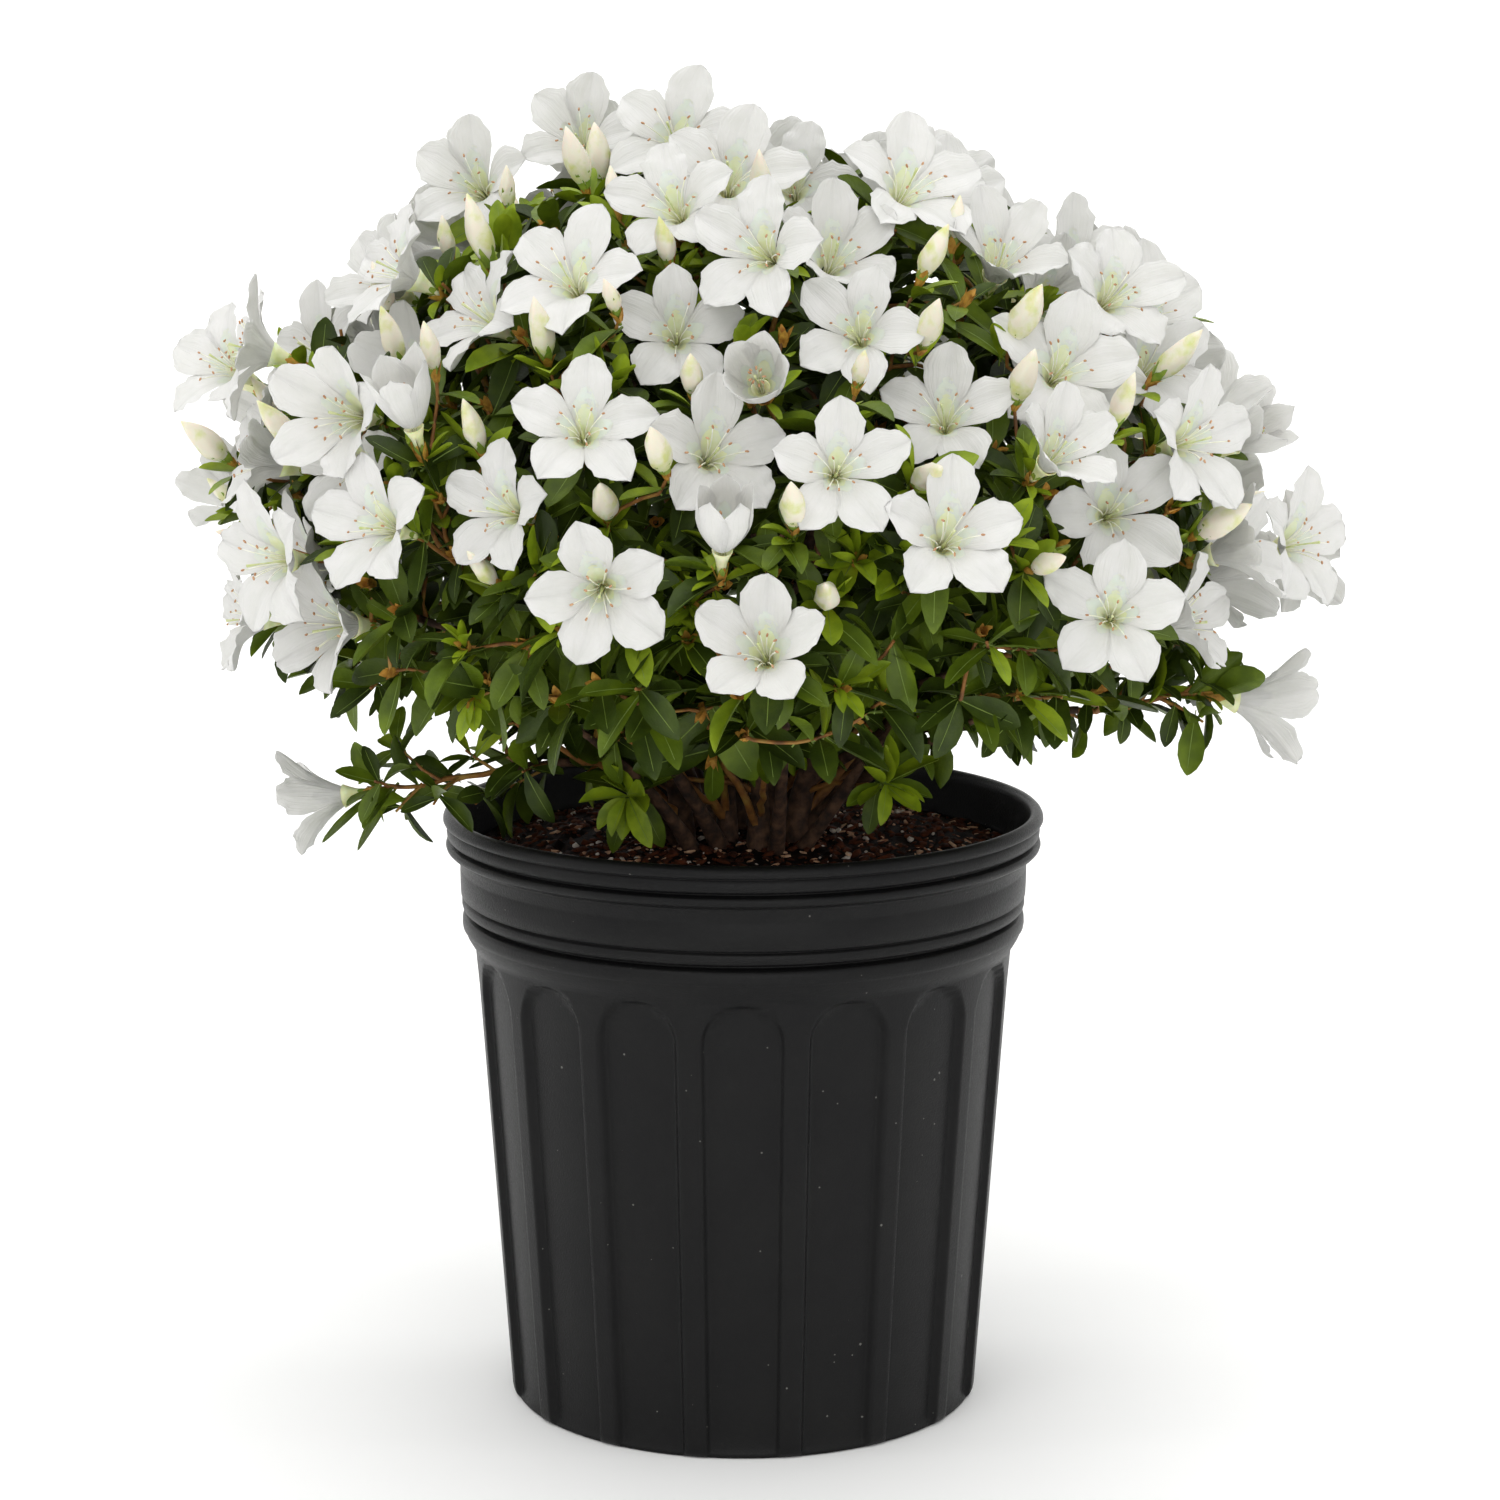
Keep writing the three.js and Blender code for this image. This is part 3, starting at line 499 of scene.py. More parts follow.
# A leaf's width as a share of its length, along twigs and in rosettes
SLIMNESS = (0.35, 0.45)
ROSETTE_SLIMNESS = (0.34, 0.42)
LEAF_SHAPES = 5


class Twig:
    """A tapering twig: its points, its radius at each, and how bare of leaves it starts."""

    def __init__(self, route, foot, tip, rng, bend=0.6, bare=0.3):
        count = max(3, int(route.length / STATION) + 1)
        self.shares = np.linspace(0, 1, count)
        self.points = route.at(self.shares)
        wander = rng.normal(0, bend, self.points.shape)
        wander[[0, -1]] = 0
        self.points = self.points + wander
        self.radii = foot + (tip - foot) * self.shares
        self.route = route
        self.length = route.length
        self.bare = bare

    def axis(self, share):
        return self.route.tangent(share)


def bloom_calyx(bloom):
    return bloom.place - bloom.facing * (TUBE_DEPTH - SUNK)


def bloom_twigs(masses, rng):
    """The mass's own stem and one side twig for each further bloom, as in the source."""
    twigs = []
    for mass in masses:
        lead = mass.blooms[0]
        if mass.limb:
            leave = mass.limb.route.tangent(1)
            start = mass.limb.route.at(1) - leave
        else:
            start, leave = mass.start, mass.leave
        main = Route(start, leave, bloom_calyx(lead), lead.facing)
        mass.twigs = [Twig(main, TWIG_FOOT, TWIG_TIP, rng, bare=0.35 if mass.direct else 0.1)]
        for order, bloom in enumerate(mass.blooms[1:]):
            along = FIRST_SIDE_TWIG + NEXT_SIDE_TWIG * order + (DIRECT_SIDE_TWIG if mass.direct else 0)
            side_start, side_leave = fork(main, along, bloom.place)
            side = Route(side_start, side_leave, bloom_calyx(bloom), bloom.facing)
            mass.twigs.append(Twig(side, SIDE_TWIG_FOOT, TWIG_TIP, rng, bare=0.3))
        twigs += mass.twigs
    return twigs


class BloomShades:
    """Where places lie by the cups of all blooms at once."""

    def __init__(self, blooms):
        self.places = np.array([bloom.place for bloom in blooms])
        self.facings = np.array([bloom.facing for bloom in blooms])

    def read(self, places):
        apart = places[:, None] - self.places[None]
        ahead = np.einsum("ijk,jk->ij", apart, self.facings)
        beside = np.sqrt(np.maximum(0, (apart**2).sum(2) - ahead**2))
        return ahead - funnel(beside), beside

    def cover(self, place, aside, behind, before):
        """Whether a place is so close to a bloom: aside of its axis, and behind its face or before it."""
        ahead, beside = self.read(place[None])
        return np.any((beside < aside) & (ahead > -behind) & (ahead < before))


def funnel(radius):
    """How deep the cup of an open bloom lies behind its rim, at a radius."""
    return -CUP_DEPTH * np.exp(-np.maximum(0, radius - CUP_FLOOR) / CUP_FADE)


def low_edge(places, middle=SHOOT_EDGE):
    """The lowest that the crown's shoots hang, higher up the further out."""
    out = np.hypot(places[:, 0], places[:, 1])
    return middle + EDGE_RISE * out**2


def scatter_tips(rng, count, reach, apart, shades, taken):
    """Seeded shoot tips in the crown, kept apart, out of the blooms' cups and above its low edge."""
    tips = []
    for _ in range(count * 60):
        if len(tips) >= count:
            break
        place = in_crown(unit(rng.normal(size=3)), rng.uniform(*reach))
        if place[2] < low_edge(place[None])[0]:
            continue
        if not shades.cover(place, *SHOOT_ROOM) and nearest(tips + taken, place) >= apart:
            tips.append(place)
    return tips


class Skeleton:
    """All twig points so far, from which the next shoot finds what carries it."""

    def __init__(self, heart):
        self.heart = np.array(heart, float)
        self.places = np.empty((0, 3))
        self.axes = np.empty((0, 3))
        self.radii = np.empty(0)

    def add(self, points, radii):
        axes = np.gradient(points, axis=0)
        axes /= np.linalg.norm(axes, axis=1, keepdims=True)
        self.places = np.concatenate([self.places, points])
        self.axes = np.concatenate([self.axes, axes])
        self.radii = np.concatenate([self.radii, radii])

    def nearest(self, tip):
        away = np.linalg.norm(self.places - tip, axis=1)
        inner = np.linalg.norm(self.places - self.heart, axis=1)
        own = np.linalg.norm(tip - self.heart)
        cost = away + OUTWARD_COST * np.maximum(0, inner - own + OUTWARD_SLACK)
        cost += UPWARD_COST * np.maximum(0, self.places[:, 2] - tip[2] + UPWARD_SLACK)
        cost += np.where(away < CLOSE, CLOSE_COST, 0)
        best = int(np.argmin(cost))
        return self.places[best], self.radii[best], self.axes[best]


def grow_shoot(skeleton, tip, axis, rng, bare=0.3):
    """A shoot from whatever carries it best, slimmer than that and the longer the thicker."""
    start, radius, onward = skeleton.nearest(tip)
    leave = unit(unit(tip - start) + ONWARD_SHARE * onward)
    route = Route(start, leave, tip, axis)
    foot = min(0.85 * radius, 0.8 + 0.008 * route.length)
    twig = Twig(route, max(foot, SLIMMEST_FOOT), SHOOT_TIP, rng, bare=bare)
    skeleton.add(twig.points[1:], twig.radii[1:])
    return twig


class Sprouts:
    """Leaves, buds or scales to be set on points: place, turn, size and shape number."""

    def __init__(self):
        self.rows = []

    def add(self, place, turn, size, shape):
        self.rows.append((place, turn, size, shape))

    def keep(self, chosen):
        self.rows = [row for row, kept in zip(self.rows, chosen) if kept]

    def points(self, *shares):
        """For each share of their length, the points of all sprouts there."""
        along = np.array([np.array(turn @ Vector((1, 0, 0))) for _, turn, _, _ in self.rows])
        places = np.array([row[0] for row in self.rows])
        lengths = np.array([row[2][0] for row in self.rows])[:, None]
        return [places + along * lengths * share for share in shares]


def stand(along, above):
    """The turn that lays a shape's X along one direction and its Z towards another."""
    across = unit(np.cross(above, along))
    top = np.cross(along, across)
    return Matrix(np.array([along, across, top]).T.tolist()).to_quaternion()


def leaf_at(sprouts, place, axis, turn, splay, length, width, rng):
    """A leaf that leaves its twig splayed from the axis, its upper side up and outwards."""
    side = turned(unit(np.cross(axis, UP) + 1e-6), axis, turn)
    angle = math.radians(splay)
    heading = unit(axis * math.cos(angle) + side * math.sin(angle))
    above = unit(UP + 0.7 * axis + rng.normal(0, 0.35, 3))
    # A leaf that points nearly where its upper side does is tipped over
    if abs(heading @ above) > 0.96:
        above = unit(above + np.array([0.3, 0.2, 0]))
    sprouts.add(place, stand(heading, above), (length, width, length), int(rng.integers(LEAF_SHAPES)))


def leaf_twig(twig, leaves, rng, whorl, size, young=0.0, spacing=11):
    """A whorl of leaves under the tip and single leaves down to where the twig is bare."""
    tip_axis = twig.axis(1)
    first = rng.uniform(0, 360)
    for k in range(whorl):
        share = max(0, 1 - (WHORL_START + WHORL_STEP * k) / twig.length)
        place = twig.route.at(share)
        kind = leaves["new"] if rng.random() < young else leaves[pick_green(rng)]
        length = size * rng.uniform(0.62, 1.12)
        turn, splay = first + LEAF_TURN * k, rng.uniform(52, 86)
        leaf_at(kind, place, tip_axis, turn, splay, length, length * rng.uniform(*SLIMNESS), rng)
    station = WHORL_START + WHORL_STEP * whorl + rng.uniform(4, 9)
    turn = first
    while station < twig.length * (1 - twig.bare):
        share = 1 - station / twig.length
        turn += LEAF_TURN
        length = size * rng.uniform(0.55, 1.0)
        kind = leaves[pick_green(rng)]
        place, axis, splay = twig.route.at(share), twig.axis(share), rng.uniform(45, 75)
        leaf_at(kind, place, axis, turn, splay, length, length * rng.uniform(*SLIMNESS), rng)
        station += spacing * rng.uniform(0.7, 1.3)


def pick_green(rng):
    return "deep" if rng.random() < 0.5 else "green"


def rosette(leaves, place, axis, rng, count, size, splay):
    """A tight ring of leaves of one kind round a tip."""
    first = rng.uniform(0, 360)
    for k in range(count):
        length = size * rng.uniform(0.75, 1.1)
        turn, tilt = first + LEAF_TURN * k, splay * rng.uniform(0.8, 1.2)
        width = length * rng.uniform(*ROSETTE_SLIMNESS)
        leaf_at(leaves, place - axis * 0.8 * k, axis, turn, tilt, length, width, rng)


def clear_of_blooms(sprouts, shades):
    """Which leaves neither pierce a bloom nor lie in front of its cup."""
    bad, behind, front = False, False, False
    for points in sprouts.points(0.15, 0.4, 0.65, 0.85, 1):
        ahead, beside = shades.read(points)
        near = beside < BLOOM_RADIUS
        touching = near & (np.abs(ahead) < LEAF_ROOM)
        hiding = (beside < HIDING_RADIUS) & (ahead > 0) & (ahead < HIDING_REACH)
        bad = bad | np.any(touching | hiding, axis=1)
        behind = behind | near & (ahead < 0)
        front = front | near & (ahead > 0)
    return ~bad & ~np.any(behind & front, axis=1)


# Node and mesh helpers


def linear(code):
    """An sRGB hex colour as the linear colour that a shader takes."""
    values = [int(code[i : i + 2], 16) / 255 for i in (1, 3, 5)]
    return [v / 12.92 if v <= 0.04045 else ((v + 0.055) / 1.055) ** 2.4 for v in values] + [1.0]


def output_of(made):
    """What a node gives: the first of its outputs that is in use."""
    return next(s for s in made.outputs if s.enabled)


def add(tree, kind, inputs=None, **settings):
    """A node with its settings, and its sockets set, or linked to a socket or to what a node gives."""
    made = tree.nodes.new(kind)
    for name, value in settings.items():
        setattr(made, name, value)
    for name, value in (inputs or {}).items():
        if isinstance(name, int):
            socket = made.inputs[name]
        else:
            socket = next(s for s in made.inputs if s.name == name and s.enabled)
        if isinstance(value, bpy.types.Node):
            value = output_of(value)
        if isinstance(value, bpy.types.NodeSocket):
            tree.links.new(value, socket)
        else:
            socket.default_value = value
    return made


def geometry_tree(name, inputs):
    """A geometry tree with a geometry input, named inputs, and a geometry output."""
    tree = bpy.data.node_groups.new(name, "GeometryNodeTree")
    tree.interface.new_socket("Geometry", in_out="INPUT", socket_type="NodeSocketGeometry")
    for label, kind in inputs:
        tree.interface.new_socket(label, in_out="INPUT", socket_type="NodeSocket" + kind)
    tree.interface.new_socket("Geometry", in_out="OUTPUT", socket_type="NodeSocketGeometry")
    return tree, tree.nodes.new("NodeGroupInput").outputs


def finish_tree(tree, geometry, material):
    """Every tree ends by realizing its instances and setting its finish."""
    real = add(tree, "GeometryNodeRealizeInstances", {"Geometry": geometry})
    finished = add(tree, "GeometryNodeSetMaterial", {"Geometry": real, "Material": material})
    add(tree, "NodeGroupOutput", {"Geometry": finished})
    return tree


def link(name, mesh):
    made = bpy.data.objects.new(name, mesh)
    bpy.context.scene.collection.objects.link(made)
    return made


def grown(name, mesh, tree, **values):
    """What a geometry tree makes of a mesh, as an object with a plain mesh."""
    made = link(name, mesh)
    rule = made.modifiers.new("rule", "NODES")
    rule.node_group = tree
    for item in tree.interface.items_tree:
        label = item.name.lower().replace(" ", "_")
        if item.in_out == "INPUT" and label in values:
            rule[item.identifier] = values.pop(label)
    if values:
        raise KeyError(f"{tree.name} has no inputs named {sorted(values)}")
    seen = bpy.context.evaluated_depsgraph_get()
    plain = bpy.data.meshes.new_from_object(made.evaluated_get(seen), depsgraph=seen)
    made.modifiers.remove(rule)
    made.data = plain
    plain.name = name
    return made


def give(mesh, name, kind, values, field="value"):
    """A named value for each corner of a mesh."""
    held = mesh.attributes.new(name, kind, "POINT")
    held.data.foreach_set(field, np.array(values, np.int32 if kind == "INT" else np.float32).ravel())


def mesh_of(name, corners, faces, sharp=(), lie=()):
    """A smooth mesh in metres from corners in millimetres. Edges between sharp corners stay sharp."""
    mesh = bpy.data.meshes.new(name)
    mesh.from_pydata((np.asarray(corners, float) * MM).tolist(), [], [list(face) for face in faces])
    mesh.shade_smooth()
    if len(sharp):
        edge = set(sharp)
        for line in mesh.edges:
            if line.vertices[0] in edge and line.vertices[1] in edge:
                line.use_edge_sharp = True
    if len(lie):
        give(mesh, "lie", "FLOAT2", lie, "vector")
    return mesh


def lens(grid, thickness):
    """A closed thin blade around a grid of points: both sides share the grid's rim."""
    rows, cols = grid.shape[:2]
    normals = np.cross(np.gradient(grid, axis=0), np.gradient(grid, axis=1))
    normals /= np.linalg.norm(normals, axis=2, keepdims=True) + 1e-12
    half = np.zeros((rows, cols, 1))
    half[1:-1, 1:-1] = thickness / 2
    upper = (grid + normals * half).reshape(-1, 3)
    lower = (grid - normals * half)[1:-1, 1:-1].reshape(-1, 3)
    index = np.arange(rows * cols).reshape(rows, cols)
    under = index.copy()
    under[1:-1, 1:-1] = rows * cols + np.arange((rows - 2) * (cols - 2)).reshape(rows - 2, cols - 2)
    faces = []
    for i in range(rows - 1):
        for j in range(cols - 1):
            a, b, c, d = (i, j), (i + 1, j), (i + 1, j + 1), (i, j + 1)
            faces.append([index[k] for k in (a, b, c, d)])
            faces.append([under[k] for k in (d, c, b, a)])
    rim = np.concatenate([index[0], index[-1], index[:, 0], index[:, -1]])
    across, along = np.meshgrid(np.linspace(-1, 1, cols), np.linspace(0, 1, rows))
    lie = np.stack([across, along], axis=-1)
    lie = np.concatenate([lie.reshape(-1, 2), lie[1:-1, 1:-1].reshape(-1, 2)])
    return np.concatenate([upper, lower]), faces, np.unique(rim), lie


def rings_of(count, sides):
    """The corner numbers of so many rings, where a mesh is made ring by ring."""
    return np.arange(count * sides).reshape(count, sides).tolist()


def bands(rings):
    """The faces between each ring of corners and the next, with the corners that fall together left out."""
    faces = []
    for low, high in zip(rings, rings[1:]):
        for k in range(len(low)):
            n = (k + 1) % len(low)
            face = list(dict.fromkeys([low[k], low[n], high[n], high[k]]))
            if len(face) > 2:
                faces.append(face)
    return faces


def tube(points, radii, sides):
    """A closed tube through points, with a radius at each."""
    points = np.asarray(points, float)
    axes = np.gradient(points, axis=0)
    axes /= np.linalg.norm(axes, axis=1, keepdims=True)
    side = np.cross(axes[0], [0.3, 0.5, 0.8])
    corners = []
    for place, axis, radius in zip(points, axes, radii):
        side = unit(side - (side @ axis) * axis)
        other = np.cross(axis, side)
        for k in range(sides):
            turn = 2 * math.pi * k / sides
            corners.append(place + radius * (math.cos(turn) * side + math.sin(turn) * other))
    rings = rings_of(len(points), sides)
    return corners, bands(rings) + [rings[0][::-1], rings[-1]]


def join(parts):
    """Corners, faces, sharp corners and the lie of each corner of several parts, as one mesh's."""
    corners, faces, sharp, lie = [], [], [], []
    for part in parts:
        shift = len(corners)
        corners += list(part[0])
        faces += [[shift + k for k in face] for face in part[1]]
        if len(part) > 2:
            sharp += [shift + k for k in part[2]]
            lie += list(part[3])
        else:
            lie += [(0, 0)] * len(part[0])
    return corners, faces, sharp, lie


def evenly(sides):
    return 2 * math.pi * np.arange(sides) / sides


def turned_profile(profile, turns):
    """A closed solid of revolution: the profile runs from the axis round to the axis, outside first."""
    corners, rings = [], []
    sides = len(turns)
    for radius, height in profile:
        if radius < 1e-6:
            rings.append([len(corners)] * sides)
            corners.append((0, 0, height))
            continue
        rings.append([len(corners) + k for k in range(sides)])
        corners += [(radius * math.sin(turn), -radius * math.cos(turn), height) for turn in turns]
    return corners, bands(rings)


# The finishes


def finish(name, colour, roughness, also=None, shades=(), patch=None, grain=None, spread=None, detail=3.0):
    """A material: its shader's own values, shades in patches so many millimetres wide, and relief of a
    grain's width and height in millimetres, with the spread of its roughness."""
    made = bpy.data.materials.new(name)
    made.use_nodes = True
    shader = made.node_tree.nodes["Principled BSDF"]
    shader.inputs["Base Color"].default_value = linear(colour)
    shader.inputs["Roughness"].default_value = roughness
    for label, value in (also or {}).items():
        shader.inputs[label].default_value = value
    if shades:
        place = mottle(made, shades, patch)
    if grain:
        roughen(made, place, *grain, spread, detail)
    return made


def feed(made, label, source):
    """Links what a node gives to a socket of a material's shader."""
    tree = made.node_tree
    tree.links.new(output_of(source), tree.nodes["Principled BSDF"].inputs[label])


def mottle(made, colours, millimetres):
    """Colour that wanders between some shades, with patches of a real size."""
    tree = made.node_tree
    place = add(tree, "ShaderNodeTexCoord").outputs["Object"]
    noise = add(tree, "ShaderNodeTexNoise", {"Vector": place, "Scale": 1 / (millimetres * MM), "Detail": 4.0})
    ramp = add(tree, "ShaderNodeValToRGB", {"Fac": noise})
    stops = ramp.color_ramp.elements
    shares = np.linspace(0.32, 0.68, len(colours))
    while len(stops) < len(colours):
        stops.new(0.5)
    for stop, share, colour in zip(stops, shares, colours):
        stop.position = share
        stop.color = linear(colour)
    feed(made, "Base Color", ramp)
    return place


def roughen(made, place, millimetres, height, spread=None, detail=3.0):
    """Fine relief of a real grain size and height, and a roughness that follows it."""
    tree = made.node_tree
    grain = {"Vector": place, "Scale": 1 / (millimetres * MM), "Detail": detail}
    noise = add(tree, "ShaderNodeTexNoise", grain)
    relief = {"Height": noise, "Distance": height * MM, "Strength": 1.0}
    feed(made, "Normal", add(tree, "ShaderNodeBump", relief))
    if spread:
        limits = {"From Min": 0.3, "From Max": 0.7, "To Min": spread[0], "To Max": spread[1]}
        feed(made, "Roughness", add(tree, "ShaderNodeMapRange", {"Value": noise} | limits))


def vein(made, count, height):
    """Fine veins that run the length of a petal, spaced across it, and read from the petal's own lie."""
    tree = made.node_tree
    lie = add(tree, "ShaderNodeAttribute", attribute_name="lie")
    stretched = {0: lie.outputs["Vector"], 1: (count, 1.3, 0)}
    fan = add(tree, "ShaderNodeVectorMath", stretched, operation="MULTIPLY")
    noise = add(tree, "ShaderNodeTexNoise", {"Vector": fan, "Scale": 1.0, "Detail": 2.0})
    relief = {"Height": noise, "Distance": height * MM, "Strength": 1.0}
    feed(made, "Normal", add(tree, "ShaderNodeBump", relief))


# Thin plant tissue lets a little light through, to about 3 mm
TISSUE = {"Subsurface Weight": 0.2, "Subsurface Scale": 0.003}
# Fresh azalea petal: thin, soft, faintly translucent tissue, so shaded folds stay pale, with fine veins
PETAL_SOCKETS = {
    "Subsurface Weight": 0.2,
    "Subsurface Scale": 0.004,
    "Subsurface Radius": (1.0, 1.0, 0.9),
    "Sheen Weight": 0.3,
    "Sheen Roughness": 0.6,
}
PETAL = finish("azalea_petal", "#d1d0cd", 0.6, PETAL_SOCKETS, shades=["#cfcfca", "#d6d5d2"], patch=9)
vein(PETAL, 9, 0.45)
# The flush of the throat: the same tissue, tinted a faint yellow-green, and a stronger one deep inside. Both
# are also painted lighter than the petal: a painted glow for light shining through the petals into the shaded
# throat
THROAT = finish(
    "azalea_petal_throat", "#dbdacd", 0.6, TISSUE, shades=["#d8d7c8", "#dcdbd1"], patch=5, grain=(1.5, 0.1)
)
THROAT_DEEP = finish(
    "azalea_petal_throat_deep", "#e6e4bf", 0.6, TISSUE,
    shades=["#e2e0ae", "#e7e5c8"], patch=5, grain=(1.5, 0.1),
)
# The tube: greener, where the flower joins its stalk
TUBE = finish(
    "azalea_flower_tube", "#e2e3b0", 0.6, TISSUE, shades=["#d6dc94", "#e9e9c6"], patch=5, grain=(1.5, 0.1)
)
# Closed petals: cream, waxy and a little more yellow than an open bloom
BUD = finish(
    "azalea_bud_petal", "#dfdcc0", 0.5, TISSUE,
    shades=["#cfd38c", "#e3dfca", "#e6dccb"], patch=8, grain=(1.5, 0.15),
)
# Sepals and the tender foot of bud and bloom: matt hairy green
SEPAL = finish("azalea_sepal", "#7d9a35", 0.65, shades=["#6c8a2c", "#93a63c"], patch=4, grain=(0.8, 0.1))
# Dry winter bud scales: papery orange-brown
SCALE = finish("azalea_bud_scale", "#b88028", 0.7, shades=["#9a641c", "#d4a546"], patch=3, grain=(0.8, 0.12))
# Filaments: glassy cream threads; anthers: tan-brown pollen sacs; pistil: pale green
FILAMENT = finish(
    "azalea_filament", "#efeedd", 0.5, shades=["#e6e8c8", "#f6f5ec"], patch=5, grain=(1.0, 0.05)
)
ANTHER = finish("azalea_anther", "#b5855c", 0.7, shades=["#a0704a", "#cba27c"], patch=1.5, grain=(0.4, 0.05))
PISTIL = finish("azalea_pistil", "#c3ca8c", 0.5, shades=["#b4bf76", "#d2d6a8"], patch=3, grain=(0.8, 0.05))
# Evergreen leaves: leathery, with a thin wax that gives a soft gloss; the older, the darker
LEAF_DEEP = finish(
    "azalea_leaf_old", "#30400a", 0.46, {"Specular IOR Level": 0.26},
    shades=["#263308", "#33430b", "#42520f"], patch=14, grain=(1.4, 0.16), spread=(0.42, 0.56),
)
LEAF_GREEN = finish(
    "azalea_leaf_mature", "#4c5e0d", 0.44, {"Specular IOR Level": 0.26},
    shades=["#40510b", "#4f620e", "#637714"], patch=14, grain=(1.4, 0.16), spread=(0.4, 0.54),
)
# This spring's leaves: soft, thin and bright yellow-green
LEAF_NEW = finish(
    "azalea_leaf_young", "#7a8f14", 0.46, {"Specular IOR Level": 0.28},
    shades=["#687e11", "#90a420"], patch=10, grain=(1.4, 0.12), spread=(0.4, 0.54),
)
# Midribs and leaf stalks: smooth and pale green, standing a little proud
MIDRIB = finish("azalea_midrib", "#6f8630", 0.5, shades=["#5f7728", "#80953e"], patch=6, grain=(1.0, 0.05))
# Bark of stems and boughs: thin, matt, grey-brown, finely split along the stem
BARK = finish(
    "azalea_bark", "#45301f", 0.85,
    shades=["#24170f", "#432c1c", "#624631"], patch=5, grain=(1.8, 0.5), spread=(0.75, 0.92), detail=6.0,
)
# Young twigs: green-brown and hairy, with a dull surface
TWIG = finish(
    "azalea_twig", "#80541f", 0.7, shades=["#5c3a18", "#8c5c26", "#9a7834"], patch=9, grain=(1.2, 0.15)
)
# Blow-moulded black polyethylene: matt, with the mould's fine grain and greenhouse dust in spots
POT = finish("blow_moulded_polyethylene", "#0c0c0d", 0.42, {"Specular IOR Level": 0.17})
# Composted bark mix: moist, crumbly and dark, so it swallows light
MIX = finish(
    "composted_bark_mix", "#120804", 0.95, {"Specular IOR Level": 0.12},
    shades=["#060302", "#140905", "#2c160c"], patch=4, grain=(1.6, 1.2), detail=8.0,
)
# Bark chips: torn flat pieces, some weathered to tan
CHIP = finish(
    "bark_chip_dark", "#3a1c0f", 0.9, {"Specular IOR Level": 0.2},
    shades=["#1a0c06", "#5c2d16"], patch=4, grain=(1.0, 0.3),
)
CHIP_TAN = finish("bark_chip_tan", "#b98a68", 0.88, shades=["#8c5434", "#dcb694"], patch=4, grain=(1.0, 0.3))
# Perlite: popped volcanic glass, chalk-white and full of pits
PERLITE = finish("perlite", "#cdbfb2", 0.95, shades=["#a8978a", "#e4dbd2"], patch=2.5, grain=(0.7, 0.3))
# Painted studio sweep, matt and pale
SWEEP = finish(
    "matt_studio_sweep", "#fafaf9", 0.9, shades=["#f9f9f8", "#fbfbfa"], patch=300, grain=(4, 0.05)
)


def dust(made):
    """Mould grain about 0.8 mm wide, drawn coarser than the real one to show, and sparse dust specks."""
    tree = made.node_tree
    place = mottle(made, ["#0b0b0c", "#101010"], 35)
    shade = tree.nodes["Principled BSDF"].inputs["Base Color"].links[0].from_socket
    specks = add(tree, "ShaderNodeTexVoronoi", {"Vector": place, "Scale": 1 / (7 * MM)})
    sizes = add(tree, "ShaderNodeTexNoise", {"Vector": place, "Scale": 1 / (14 * MM), "Detail": 1.0})
    limits = {"From Min": 0.42, "From Max": 0.75, "To Min": 0.0, "To Max": 0.095}
    limit = add(tree, "ShaderNodeMapRange", {"Value": sizes} | limits)
    spot = add(tree, "ShaderNodeMath", {0: specks.outputs["Distance"], 1: limit}, operation="LESS_THAN")
    dusty = {"Factor": spot, "A": shade, "B": linear("#62615d")}
    feed(made, "Base Color", add(tree, "ShaderNodeMix", dusty, data_type="RGBA"))
    roughen(made, place, 0.8, 0.16, (0.36, 0.5), 2.0)


dust(POT)


# The flower, its buds and its leaves

# Half the width of a petal, in millimetres, at distances along its middle from the bloom's centre
PETAL_STATIONS = [3, 6.5, 10, 13.5, 16.5, 19.5, 22.5, 25.3, 27.8, 30, 31.8, 33.1, 33.9]
PETAL_WIDTHS = [2.4, 5.3, 8.0, 10.1, 11.1, 11.4, 11.2, 10.4, 9.3, 7.8, 6.0, 4.0, 1.5]
PETAL_COLUMNS = 9
PETAL_TIP = PETAL_STATIONS[-1]
# Where a petal starts, and where it leaves the flower's tube and hangs free
PETAL_ROOT = 3
PETAL_FREE = 9
# How far each petal stands in front of its neighbours: the upper one lies on top
PETAL_LAYERS = [0.9, 0.5, 0.0, -0.5, 0.4]
# How far the yellow-green flush of the throat reaches up each petal, furthest on the upper one, and how
# proud of the petal it lies
FLUSH_REACHES = {"pale": np.array([19, 13, 10, 10, 13]), "green": np.array([12, 7.5, 6, 6, 7.5])}
FLUSH_PROUD = {"pale": 0.3, "green": 0.5}
FLUSH_STATIONS = np.linspace(0, 1, 5)[:, None]
FLUSH_START = 2.6
# Where stamens and pistil stand, in an open flower and in one that is still closed, and how many stamens
FLOWER_FLOOR = {False: -18.8, True: -16.0}
STAMENS = 9
# The tube's profile, outside and inside, in an open flower and in one that is still closed
TUBE_OUTSIDE = {
    False: [
        (0, -27.2), (1.5, -27), (1.9, -25.4), (2.2, -23.4), (2.6, -21.2), (3.3, -18.8), (4.5, -15.9),
        (6, -12.9),
    ],
    True: [(0, -25.6), (1.5, -25.4), (1.9, -23.4), (2.1, -21), (2.4, -18.6), (2.9, -16.4), (4.4, -12.4)],
}
TUBE_INSIDE = {
    False: [(5.7, -12.7), (3.5, -16.6), (2.3, -18.8), (0, -19.8)],
    True: [(3.9, -12.2), (2.4, -15.2), (0, -16.5)],
}
# How far each petal stands forwards: the upper ones more, the lower ones bend back
STANCE = np.array([0.08, 0.03, -0.04, -0.04, 0.03])


